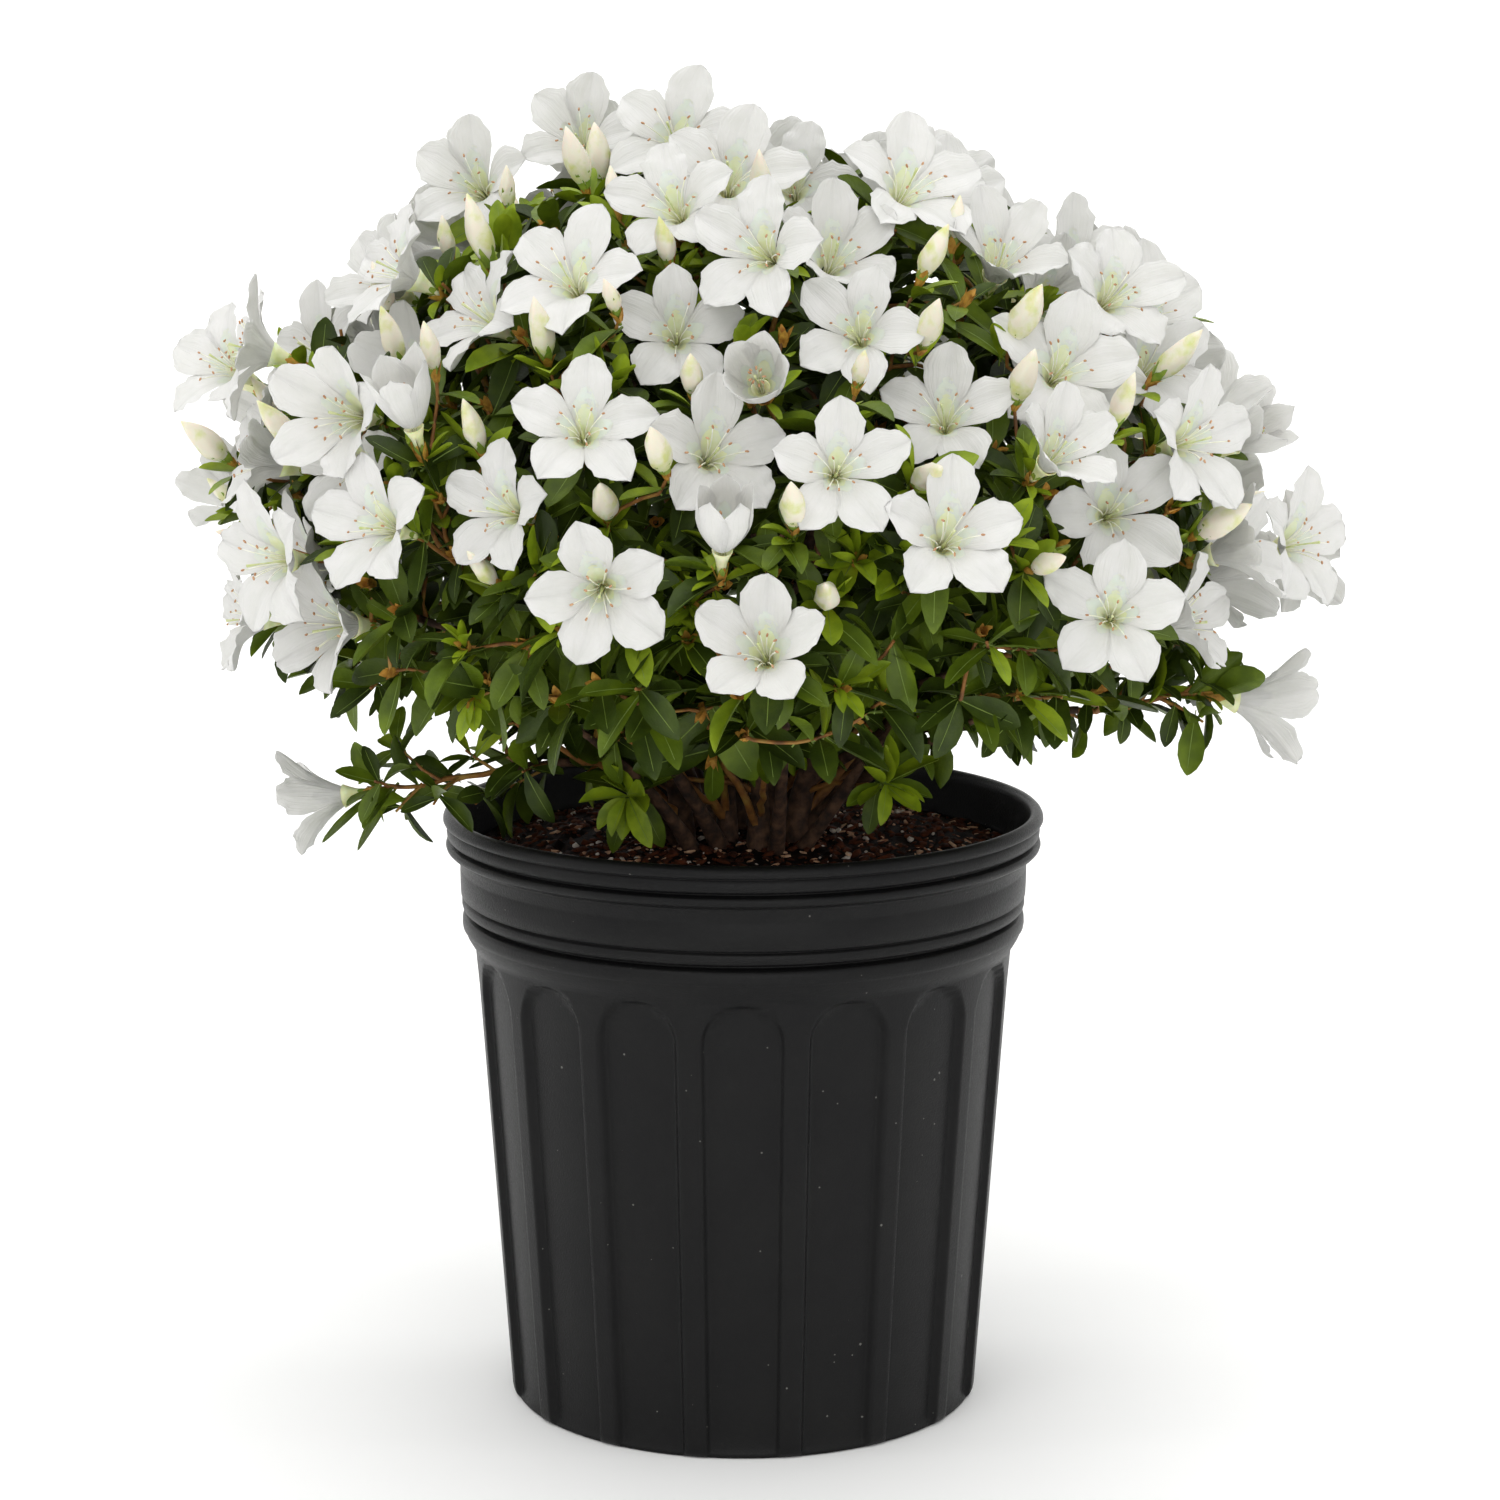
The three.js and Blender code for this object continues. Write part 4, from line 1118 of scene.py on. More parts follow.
class Flower:
    """One way for a bloom to open: the lie of each petal, from seeded draws."""

    def __init__(self, seed, lift=0.0, closed=False):
        rng = np.random.default_rng(seed)
        self.lift = lift
        self.closed = closed
        self.crease = rng.uniform(2.6, 5.2, PETALS)
        self.bulge = rng.uniform(0.3, 1.6, PETALS)
        self.curl = rng.uniform(-2.0, 4.5, PETALS)
        self.wave = rng.uniform(0.8, 2.2, PETALS)
        self.phase = rng.uniform(0, 6.28, (PETALS, 3))
        self.hinge = rng.uniform(-0.12, 0.12, PETALS) + STANCE
        self.point = rng.uniform(0.0, 0.2, PETALS)
        self.lean = rng.uniform(-1.8, 1.8, PETALS)
        self.long = rng.uniform(0.93, 1.05, PETALS)
        self.wide = rng.uniform(0.92, 1.12, PETALS)
        self.turn = rng.uniform(-5, 5, PETALS)
        self.rng = rng

    def surface(self, petal, along, across):
        """The point of a petal at distances along and across its middle."""
        middle = math.radians(petal * 360 / PETALS + 180 + self.turn[petal])
        place = self.wrapped if self.closed else self.spread
        angle, out, height = place(petal, along, across)
        angle = middle + angle
        return np.stack([out * np.sin(angle), -out * np.cos(angle), height], axis=-1)

    def wrapped(self, petal, along, across):
        """A petal that still closes over its neighbour: its turn, its distance out and its height."""
        rise = along / BLOOM_RADIUS
        share = across / np.interp(along, PETAL_STATIONS, PETAL_WIDTHS)
        out = 2.6 + 8.6 * np.sin(np.clip(along / 21, 0, 1) * math.pi / 2)
        out -= 4.2 * np.clip(rise - 0.55, 0, 1) ** 1.1
        out += self.lift * np.clip(rise - 0.3, 0, 1) ** 2 + PETAL_LAYERS[petal] * 0.6
        half_turn = np.interp(along, [PETAL_ROOT, 20, 28, PETAL_TIP], [0.74, 0.86, 0.62, 0.1])
        return share * half_turn, out, -13 + 0.96 * along

    def spread(self, petal, along, across):
        """A petal of an open flower: its turn, its distance out and its height."""
        out = np.hypot(along, across)
        free = np.clip((along - PETAL_FREE) / 24, 0, 1)
        edge = np.clip(np.abs(across) / 10, 0, 1.1)
        side = self.phase[petal, 1] * np.sign(across)
        width = np.interp(along, PETAL_STATIONS, PETAL_WIDTHS) / 12
        ripple = np.sin(along * 0.7 + self.phase[petal, 0] + side)
        height = funnel(out)
        height += PETAL_LAYERS[petal] * np.clip((along - 6) / 6, 0, 1)
        height += self.crease[petal] * (edge**0.85 - 0.5 * width) * free**0.7
        height += self.bulge[petal] * np.sin(math.pi * np.clip(edge, 0, 1)) * free
        height -= self.curl[petal] * free**2.4
        height += self.wave[petal] * free * edge**2 * ripple
        height += self.lean[petal] * free * across / 12
        height += self.hinge[petal] * np.clip(along - PETAL_FREE, 0, 30)
        height += self.lift * (out / BLOOM_RADIUS) ** 1.2
        shrink = 1 - 0.012 * self.lift * (out / BLOOM_RADIUS) ** 1.1
        return np.arctan2(across, along), out * shrink, height

    def petals(self):
        """Five blades, each with its own length, width, wavy edge and more or less pointed tip."""
        parts = []
        shares = np.linspace(-1, 1, PETAL_COLUMNS)
        for petal in range(PETALS):
            along = np.array(PETAL_STATIONS)[:, None] * np.ones(PETAL_COLUMNS)
            along = PETAL_ROOT + (along - PETAL_ROOT) * self.long[petal]
            both_edges = np.sin(along * 0.8 + self.phase[petal, 2])
            each_edge = np.sin(along * 0.5 + self.phase[petal, 1] * np.sign(shares)[None])
            width = 1 + (self.wide[petal] - 1) * np.clip((along - PETAL_FREE) / 8, 0, 1)
            width += 0.05 * both_edges * np.clip((along - 14) / 10, 0, 1)
            width += 0.05 * each_edge * np.clip(along / 20 - 0.6, 0, 1)
            width = width * (1 - self.point[petal] * np.clip((along - 23) / 10, 0, 1))
            across = np.array(PETAL_WIDTHS)[:, None] * shares[None] * width
            along = along - 1.4 * np.clip((along - 18) / 12, 0, 1) * shares[None] ** 2
            parts.append(lens(self.surface(petal, along, across), 0.5))
        return join(parts)

    def flush(self, tint):
        """The tinted skin of the throat, which runs up each petal in a tongue."""
        parts = []
        shares = np.linspace(-1, 1, 5)
        for petal in range(PETALS):
            reach = FLUSH_REACHES[tint][petal] * self.long[petal]
            along = FLUSH_START + (reach - FLUSH_START) * FLUSH_STATIONS * (1 - 0.3 * shares[None] ** 2)
            width = np.interp(along, PETAL_STATIONS, PETAL_WIDTHS)
            across = width * shares[None] * (1 - 0.6 * FLUSH_STATIONS**2)
            grid = self.surface(petal, along, across)
            above = np.array([0, 0, FLUSH_PROUD[tint]])
            if self.closed:
                above = -grid * np.array([1, 1, 0]) * 0.16 * FLUSH_PROUD[tint]
            parts.append(lens(grid + above, 0.25))
        return join(parts)

    def tube(self):
        """The flower's tube, closed inside, its lip under the petals' roots."""
        return turned_profile(TUBE_OUTSIDE[self.closed] + TUBE_INSIDE[self.closed], evenly(15))

    def stamens(self):
        """The threads, which bow outwards from the flower's floor, and where each one ends."""
        threads, tips = [], []
        shares = np.linspace(0, 1, 5)
        foot = FLOWER_FLOOR[self.closed]
        for k in range(STAMENS):
            angle = 2 * math.pi * (k + self.rng.uniform(-0.3, 0.3)) / STAMENS
            reach = 3.0 if self.closed else self.rng.uniform(5.5, 13.5)
            rise = self.rng.uniform(-2, 5) + self.lift * 0.3
            way = np.array([math.sin(angle), -math.cos(angle)])
            out = 1.2 + (reach - 1.2) * shares**1.6
            height = foot + (rise - foot) * shares + 1.5 * np.sin(math.pi * shares)
            points = np.column_stack([out * way[0], out * way[1], height])
            threads.append(tube(points, np.full(5, 0.31), 3))
            tips.append((points[-1], way))
        return join(threads), tips

    def anthers(self, tips):
        """A small pollen sac across the end of each thread."""
        parts = []
        for place, way in tips:
            along = unit(np.array([way[0], way[1], self.rng.uniform(-0.6, 0.6)]))
            points = [place - along * 0.9, place - along * 0.45, place + along * 0.45, place + along * 0.9]
            parts.append(tube(points, [0.2, 0.5, 0.5, 0.2], 5))
        return join(parts)

    def pistil(self):
        """The green style with its swollen foot and knobbed tip, which leans a little."""
        shares = np.linspace(0, 1, 5)
        lean = self.rng.uniform(-2.5, 2.5, 2)
        foot = FLOWER_FLOOR[self.closed]
        forwards = lean[1] * shares**2 - 0.8 * shares
        points = np.column_stack([lean[0] * shares**2, forwards, foot + (6 - foot) * shares])
        return join([tube(points, [1.2, 0.7, 0.36, 0.32, 0.7], 6)])


def lobe(angle, widths, out, heights, thickness, cupped=0.0):
    """A small blade that stands by an axis: half its width, its distance out and its height by station."""
    across = np.outer(widths, [-1, 0, 1])
    out = np.array(out)[:, None] - cupped * across**2
    heights = np.array(heights)[:, None] + 0 * across
    sine, cosine = math.sin(angle), math.cos(angle)
    grid = np.stack([out * sine + across * cosine, -out * cosine + across * sine, heights], axis=-1)
    return lens(grid, thickness)


def sepals():
    """The calyx: five small lobes round the foot of the tube, on a short stalk."""
    stations = np.array([0, 0.35, 0.7, 1])
    parts = []
    for angle in evenly(PETALS):
        parts.append(lobe(angle, [1, 1.5, 1.1, 0.15], 1.5 + 1.4 * stations, -25.5 + 6 * stations, 0.5))
    stalk = [(0, 0, -31), (0, 0, -28), (0, 0, -25), (0, 0, -23.5)]
    parts.append(tube(stalk, [0.9, 1.0, 1.7, 1.6], 6))
    return join(parts)


def bud_body(length, width, twist, seed):
    """A closed bud: petals wrapped in a spiral, which leaves five soft ridges."""
    rng = np.random.default_rng(seed)
    shares = np.linspace(0, 1, 11)
    radii = width / 2 * np.clip(np.sin(math.pi * shares**0.74), 0, 1) ** 0.78
    radii[0], radii[-1] = 1.7, 0.3
    sides = 15
    corners = []
    lean = rng.uniform(-1.5, 1.5, 2)
    for share, radius in zip(shares, radii):
        sway = lean * share**2
        for k in range(sides):
            turn = 2 * math.pi * k / sides
            angle = turn + twist * share
            out = radius * (1 + 0.09 * math.cos(PETALS * turn) * math.sin(math.pi * share))
            x, y = out * math.sin(angle) + sway[0], -out * math.cos(angle) + sway[1]
            corners.append((x, y, length * share))
    rings = rings_of(len(shares), sides)
    return corners, bands(rings) + [rings[0][::-1], rings[-1]]


def bud_cup(width):
    """The green foot of a bud and its sepals."""
    stalk = [(0, -7), (0.8, -7), (0.9, -3), (1.9, -0.6)]
    cup = [(width * 0.3, 3.2), (width * 0.26, 3.6), (0, 3.0)]
    parts = [turned_profile(stalk + cup, evenly(10))]
    out = [1.9, width * 0.27, width * 0.41, width * 0.47]
    for k in range(PETALS):
        angle = 2 * math.pi * (k + 0.5) / PETALS
        parts.append(lobe(angle, [1.2, 1.8, 1.2, 0.1], out, [-0.8, 2.6, 6, 9.5], 0.5))
    return join(parts)


def scales(seed):
    """Papery winter scales left round the foot of a bloom or bud."""
    rng = np.random.default_rng(seed)
    stations = np.array([0, 0.4, 0.75, 1])
    parts = []
    for middle in evenly(4):
        angle = middle + rng.uniform(-0.5, 0.5)
        tall = rng.uniform(7, 11)
        spread = rng.uniform(1.2, 3.6)
        out = 1 + spread * stations**1.3
        parts.append(lobe(angle, [1.2, 2.3, 1.8, 0.3], out, tall * stations, 0.4, cupped=0.12))
    return join(parts)


LEAF_STATIONS = np.array([0.0, 0.14, 0.32, 0.52, 0.72, 0.88, 0.97, 1.0])
LEAF_WIDTHS = np.array([0.06, 0.2, 0.39, 0.49, 0.46, 0.3, 0.12, 0.02])


def leaf_middle(shape, stations):
    """The lie of a leaf's midrib: how far it bends down or up and to its side."""
    droop = (0.16, 0.3, 0.05, -0.1, 0.22)[shape]
    sway = (0.0, 0.05, -0.06, 0.03, -0.04)[shape]
    return np.stack([stations, sway * stations**2, -droop * stations**2 + 0.03 * stations], axis=-1)


def leaf_blade(shape):
    """A leaf one unit long and wide: elliptic, folded a little along its midrib."""
    fold = (0.16, 0.1, 0.24, 0.2, 0.3)[shape]
    middle = leaf_middle(shape, LEAF_STATIONS)
    grid = np.repeat(middle[:, None], 3, axis=1)
    for column, side in ((0, -1), (2, 1)):
        grid[:, column, 1] += side * LEAF_WIDTHS
        grid[:, column, 2] += LEAF_WIDTHS * fold * (1 + 0.25 * side * (shape % 2))
    return lens(grid, 0.02)


def leaf_rib(shape):
    """The leaf's stalk and midrib, a thin ridge that stands proud of the blade."""
    stations = np.array([-0.09, 0.14, 0.32, 0.52, 0.72, 0.88])
    points = leaf_middle(shape, stations)
    points[:, 2] += 0.006
    radii = np.array([0.026, 0.024, 0.021, 0.018, 0.015, 0.011])
    return join([tube(points, radii, 3)])


# The trees that sweep, press, strew and set out

# A collection is handed on as its separate shapes, each at the origin
ONE_BY_ONE = {"Separate Children": True, "Reset Children": True}
CHIP_KINDS = 4


def set_on_points():
    """Shapes of a collection set on points by their turn, size and shape number."""
    tree, given = geometry_tree("set_on_points", [("Shapes", "Collection"), ("Finish", "Material")])
    shapes = add(tree, "GeometryNodeCollectionInfo", {"Collection": given["Shapes"]} | ONE_BY_ONE)
    turn = add(tree, "GeometryNodeInputNamedAttribute", {"Name": "turn"}, data_type="QUATERNION")
    size = add(tree, "GeometryNodeInputNamedAttribute", {"Name": "size"}, data_type="FLOAT_VECTOR")
    shape = add(tree, "GeometryNodeInputNamedAttribute", {"Name": "shape"}, data_type="INT")
    picked = {"Points": given["Geometry"], "Instance": shapes, "Pick Instance": True, "Instance Index": shape}
    placed = add(tree, "GeometryNodeInstanceOnPoints", picked | {"Rotation": turn, "Scale": size})
    return finish_tree(tree, placed, given["Finish"])


def limbs_from_lines():
    """Tapering limbs swept along lines, each point with its thickness, with the bark's relief."""
    inputs = [("Sides", "Int"), ("Relief", "Float"), ("Grain", "Float"), ("Finish", "Material")]
    tree, given = geometry_tree("limbs_from_lines", inputs)
    lines = add(tree, "GeometryNodeMeshToCurve", {"Mesh": given["Geometry"]})
    ring = add(tree, "GeometryNodeCurvePrimitiveCircle", {"Resolution": given["Sides"], "Radius": 1.0})
    thick = add(tree, "GeometryNodeInputNamedAttribute", {"Name": "thickness"}, data_type="FLOAT")
    sweep = {"Curve": lines, "Profile Curve": ring, "Scale": thick, "Fill Caps": True}
    swept = add(tree, "GeometryNodeCurveToMesh", sweep)
    place = add(tree, "GeometryNodeInputPosition")
    normal = add(tree, "GeometryNodeInputNormal")
    # The grain runs up the limb, so it is read from a place squeezed upright
    drawn = add(tree, "ShaderNodeVectorMath", {0: place, 1: (1, 1, 0.35)}, operation="MULTIPLY")
    noise = add(tree, "ShaderNodeTexNoise", {"Vector": drawn, "Scale": given["Grain"], "Detail": 4.0})
    centred = add(tree, "ShaderNodeMath", {0: noise, 1: 0.5}, operation="SUBTRACT")
    height = add(tree, "ShaderNodeMath", {0: centred, 1: given["Relief"]}, operation="MULTIPLY")
    push = add(tree, "ShaderNodeVectorMath", {0: normal, "Scale": height}, operation="SCALE")
    rough = add(tree, "GeometryNodeSetPosition", {"Geometry": swept, "Offset": push})
    smooth = add(tree, "GeometryNodeSetShadeSmooth", {"Geometry": rough, "Shade Smooth": True})
    return finish_tree(tree, smooth, given["Finish"])


def fluted_wall():
    """Arched flutes pressed into a turned pot: one bulge rule gives arch, sides and soft edges."""
    sizes = [(label, "Float") for label in ("Depth", "Spring", "Half Width", "Foot Half Width", "Edge")]
    tree, given = geometry_tree("fluted_wall", [("Flutes", "Int")] + sizes + [("Finish", "Material")])
    place = add(tree, "GeometryNodeInputPosition")
    x, y, z = add(tree, "ShaderNodeSeparateXYZ", {0: place}).outputs
    back = add(tree, "ShaderNodeMath", {0: y, 1: -1.0}, operation="MULTIPLY")
    angle = add(tree, "ShaderNodeMath", {0: x, 1: back}, operation="ARCTAN2")
    pitch = add(tree, "ShaderNodeMath", {0: 2 * math.pi, 1: given["Flutes"]}, operation="DIVIDE")
    count = add(tree, "ShaderNodeMath", {0: angle, 1: pitch}, operation="DIVIDE")
    whole = add(tree, "ShaderNodeMath", {0: count}, operation="ROUND")
    centre = add(tree, "ShaderNodeMath", {0: whole, 1: pitch}, operation="MULTIPLY")
    local = add(tree, "ShaderNodeMath", {0: angle, 1: centre}, operation="SUBTRACT")
    flat = add(tree, "ShaderNodeVectorMath", {0: place, 1: (1.0, 1.0, 0.0)}, operation="MULTIPLY")
    radius = add(tree, "ShaderNodeVectorMath", {0: flat}, operation="LENGTH")
    arc = add(tree, "ShaderNodeMath", {0: local, 1: radius}, operation="MULTIPLY")
    over = add(tree, "ShaderNodeMath", {0: z, 1: given["Spring"]}, operation="SUBTRACT")
    above = add(tree, "ShaderNodeMath", {0: over, 1: 0.0}, operation="MAXIMUM")
    offset = add(tree, "ShaderNodeCombineXYZ", {0: arc, 1: above})
    away = add(tree, "ShaderNodeVectorMath", {0: offset}, operation="LENGTH")
    widths = {"To Min": given["Foot Half Width"], "To Max": given["Half Width"]}
    heights = {"Value": z, "From Min": 0.0, "From Max": given["Spring"]}
    half = add(tree, "ShaderNodeMapRange", heights | widths)
    past = add(tree, "ShaderNodeMath", {0: away, 1: half}, operation="SUBTRACT")
    inner = add(tree, "ShaderNodeMath", {0: given["Edge"], 1: -1.0}, operation="MULTIPLY")
    edge = {"Value": past, "From Min": inner, "From Max": 0.0, "To Min": 1.0, "To Max": 0.0}
    press = add(tree, "ShaderNodeMapRange", edge, interpolation_type="SMOOTHSTEP")
    outer = add(tree, "GeometryNodeInputNamedAttribute", {"Name": "outer"}, data_type="FLOAT")
    share = add(tree, "ShaderNodeMath", {0: press, 1: outer}, operation="MULTIPLY")
    depth = add(tree, "ShaderNodeMath", {0: share, 1: given["Depth"]}, operation="MULTIPLY")
    inwards = add(tree, "ShaderNodeMath", {0: depth, 1: -1.0}, operation="MULTIPLY")
    way = add(tree, "ShaderNodeVectorMath", {0: flat}, operation="NORMALIZE")
    push = add(tree, "ShaderNodeVectorMath", {0: way, "Scale": inwards}, operation="SCALE")
    pressed = add(tree, "GeometryNodeSetPosition", {"Geometry": given["Geometry"], "Offset": push})
    return finish_tree(tree, pressed, given["Finish"])


def strewn():
    """Small pieces strewn over a surface, each turned and sized by seeded draws."""
    inputs = [("Pieces", "Collection"), ("Density", "Float"), ("Seed", "Int")]
    inputs += [("Smallest", "Float"), ("Largest", "Float"), ("Finish", "Material")]
    tree, given = geometry_tree("strewn", inputs)
    ground = {"Mesh": given["Geometry"], "Density": given["Density"], "Seed": given["Seed"]}
    points = add(tree, "GeometryNodeDistributePointsOnFaces", ground)
    pieces = add(tree, "GeometryNodeCollectionInfo", {"Collection": given["Pieces"]} | ONE_BY_ONE)
    turns = {"Min": (-0.5, -0.5, -3.14), "Max": (0.5, 0.5, 3.14), "Seed": 1}
    turn = add(tree, "FunctionNodeRandomValue", turns, data_type="FLOAT_VECTOR")
    sizes = {"Min": given["Smallest"], "Max": given["Largest"], "Seed": 2}
    size = add(tree, "FunctionNodeRandomValue", sizes, data_type="FLOAT")
    pick = add(tree, "FunctionNodeRandomValue", {"Min": 0, "Max": CHIP_KINDS - 1, "Seed": 3}, data_type="INT")
    rotation = add(tree, "FunctionNodeEulerToRotation", {"Euler": turn})
    picked = {"Points": points, "Instance": pieces, "Pick Instance": True, "Instance Index": pick}
    placed = add(tree, "GeometryNodeInstanceOnPoints", picked | {"Rotation": rotation, "Scale": size})
    return finish_tree(tree, placed, given["Finish"])


def shape_set(name, shapes):
    """A collection of unit shapes for a tree to set out."""
    made = bpy.data.collections.new(name)
    for index, shape in enumerate(shapes):
        mesh = mesh_of(f"{name}_{index:02d}", *shape)
        made.objects.link(bpy.data.objects.new(mesh.name, mesh))
    return made


def points_mesh(name, rows):
    """Points with their turn, size and shape number, from rows of sprouts."""
    mesh = bpy.data.meshes.new(name)
    mesh.from_pydata([tuple(np.asarray(row[0]) * MM) for row in rows], [], [])
    give(mesh, "turn", "QUATERNION", [tuple(row[1]) for row in rows])
    give(mesh, "size", "FLOAT_VECTOR", [row[2] for row in rows], "vector")
    give(mesh, "shape", "INT", [row[3] for row in rows])
    return mesh


def lines_mesh(name, lines):
    """Open lines with a thickness at each point, all in metres."""
    corners, edges, thickness = [], [], []
    for points, radii in lines:
        first = len(corners)
        corners += [tuple(p) for p in np.asarray(points) * MM]
        thickness += list(np.asarray(radii) * MM)
        edges += [(first + k, first + k + 1) for k in range(len(points) - 1)]
    mesh = bpy.data.meshes.new(name)
    mesh.from_pydata(corners, edges, [])
    give(mesh, "thickness", "FLOAT", thickness)
    return mesh


# The pot

# The pot's outline in millimetres, radius and height: its underside, its wall from the foot over the
# shoulder to the top of the flutes, its beads and rolled lip, and its inside down to the floor
POT_UNDERSIDE = [
    (0, 1.2), (60, 1.2), (97, 1.2), (99.5, 0.4), (101, 0), (102.6, 0.1), (104.2, 0.9), (105.2, 2.3),
]
POT_WALL = [(105.7, 5), (117.8, 178.7), (119.7, 206)]
POT_BEADS = [
    (121.4, 208.6), (123.2, 211.6), (124.3, 214.2), (124.5, 214.9), (125.1, 215.4), (125.4, 217),
    (125.3, 219.4), (124.9, 220.8), (123.9, 221.5), (121.9, 221.9), (120.9, 222.6), (121.9, 223.3),
    (124.2, 223.7), (125.1, 224.5), (125.5, 226), (125.5, 227.9), (125.1, 228.6), (124.0, 229),
    (123.9, 229.5), (125.2, 229.9), (125.9, 230.5), (126.1, 235), (126.2, 241.6), (125.95, 242.2),
    (126.2, 242.8), (126.3, 247.6), (126.9, 248.6), (129, 249.4), (131, 250.2), (132, 251.2),
    (132.4, 252.5), (132.1, 253.7), (131.2, 254.3), (129.3, 254.6), (128.6, 255.2), (129.3, 255.8),
    (131.2, 256.1), (131.8, 257), (132, 258.8), (131.8, 260.8), (131.1, 261.6), (130.9, 262),
    (132, 262.3), (133, 262.8), (133.5, 263.8), (133.4, 265), (132.8, 266.4), (131.7, 267.5),
    (130.5, 267.9), (129.3, 267.7), (128.3, 266.9), (127.7, 265.6), (127.6, 263), (127.2, 256),
]
POT_INSIDE = [(125.6, 240), (120.8, 224), (115.5, 206), (102, 5.5), (100, 4.2), (0, 4.2)]
FLUTES = 16
# Where the wall is divided within half a flute's pitch, in radians: closest at the flute's edge
FLUTE_DIVISIONS = [0.0, 0.045, 0.085, 0.112, 0.125, 0.1335, 0.1395, 0.1455, 0.1515, 0.1575, 0.17]
WALL_ROWS = 22
ARCH_FOOT = 170
ARCH_ROWS = 52
FOOT_RINGS = 2


def pot_mesh():
    """The pot's closed shell: underside, wall, beads, rolled lip, and the inner wall down to the floor."""
    wall_radii, wall_heights = np.array(POT_WALL).T
    heights = np.linspace(wall_heights[0], ARCH_FOOT, WALL_ROWS)
    heights = np.concatenate([heights, np.linspace(ARCH_FOOT, wall_heights[-1], ARCH_ROWS)[1:]])
    radii = np.interp(heights, wall_heights, wall_radii)
    outline = POT_UNDERSIDE + list(zip(radii, heights))
    # The flutes are pressed from the edge of the foot up
    first_wall, last_wall = len(POT_UNDERSIDE) - FOOT_RINGS, len(outline)
    outline += POT_BEADS + POT_INSIDE
    half = np.array(FLUTE_DIVISIONS)
    pitch = 2 * math.pi / FLUTES
    one = np.concatenate([half, [pitch / 2], pitch - half[:0:-1]])
    turns = (np.arange(FLUTES)[:, None] * pitch + one[None]).ravel()
    sides = len(turns)
    corners, faces = turned_profile(outline, turns)
    mesh = mesh_of("pot_shell", corners, faces)
    rings = np.repeat(np.arange(len(outline)), [1 if radius < 1e-6 else sides for radius, _ in outline])
    outer = ((rings >= first_wall) & (rings < last_wall)).astype(np.float32)
    outer *= np.clip((np.array(corners)[:, 2] - 0.5) / 3, 0, 1)
    give(mesh, "outer", "FLOAT", outer)
    return mesh


# How deep a flute is pressed, how high its arch springs, half its width there and at the foot, and how far
# its edge rounds off
FLUTE_FORM = {"depth": 3.3 * MM, "spring": 187.5 * MM, "half_width": 18.6 * MM, "foot_half_width": 16.6 * MM}
FLUTE_FORM |= {"edge": 2.6 * MM, "flutes": FLUTES, "finish": POT}
pot = grown("pot_body", pot_mesh(), fluted_wall(), **FLUTE_FORM)
pot.data.shade_smooth()


# The potting mix

MIX_SIDES = 96
MIX_RINGS = 40
# The mix's body below its edge: radius and millimetres down
MIX_SKIRT = [(124.2, 4), (122, 14)]
GROUND_SIDES = 48
GROUND_RINGS = 24


def mix_height(x, y):
    """The lie of the mix: a low mound with hollows, lower towards the pot's wall."""
    out = np.hypot(x, y) / 124
    waves = np.sin(x * 0.061 + 1.3) * np.cos(y * 0.053) + 0.5 * np.sin(x * 0.13 - y * 0.11)
    return MIX_TOP - 1.0 + (MIX_EDGE - MIX_TOP - 1.5) * out**3 + waves * 0.8 * (1 - out**4)


def ground_faces(rings):
    """The faces between rings of corners that run outwards over the ground."""
    faces = []
    for inner, ring in zip(rings, rings[1:]):
        for k in range(len(ring)):
            n = (k + 1) % len(ring)
            faces.append(list(dict.fromkeys([inner[k], ring[k], ring[n], inner[n]])))
    return faces


def mix_mesh():
    """The mix's top, crumbly, and a closed body down into the pot."""
    rng = np.random.default_rng(31)
    corners = [(0, 0, MIX_TOP - 1)]
    for index, radius in enumerate(np.linspace(3, 123, MIX_RINGS)):
        for turn in 2 * math.pi * (np.arange(MIX_SIDES) + 0.5 * (index % 2)) / MIX_SIDES:
            x, y = radius * math.sin(turn), -radius * math.cos(turn)
            corners.append((x, y, mix_height(x, y) + rng.normal(0, 0.7)))
    for radius, down in MIX_SKIRT:
        corners += [(radius * math.sin(t), -radius * math.cos(t), MIX_EDGE - down) for t in evenly(MIX_SIDES)]
    rings = np.arange(1, len(corners)).reshape(-1, MIX_SIDES).tolist()
    rings = [[0] * MIX_SIDES] + rings + [[len(corners)] * MIX_SIDES]
    corners.append((0, 0, MIX_EDGE - MIX_SKIRT[-1][1]))
    return corners, ground_faces(rings)


def mix_disc():
    """The ground that the chips lie on: the mix's top out to the wall."""
    corners = []
    for radius in np.linspace(2, 119, GROUND_RINGS):
        for turn in evenly(GROUND_SIDES):
            x, y = radius * math.sin(turn), -radius * math.cos(turn)
            corners.append((x, y, mix_height(x, y) + 0.4))
    return corners, ground_faces(rings_of(GROUND_RINGS, GROUND_SIDES))


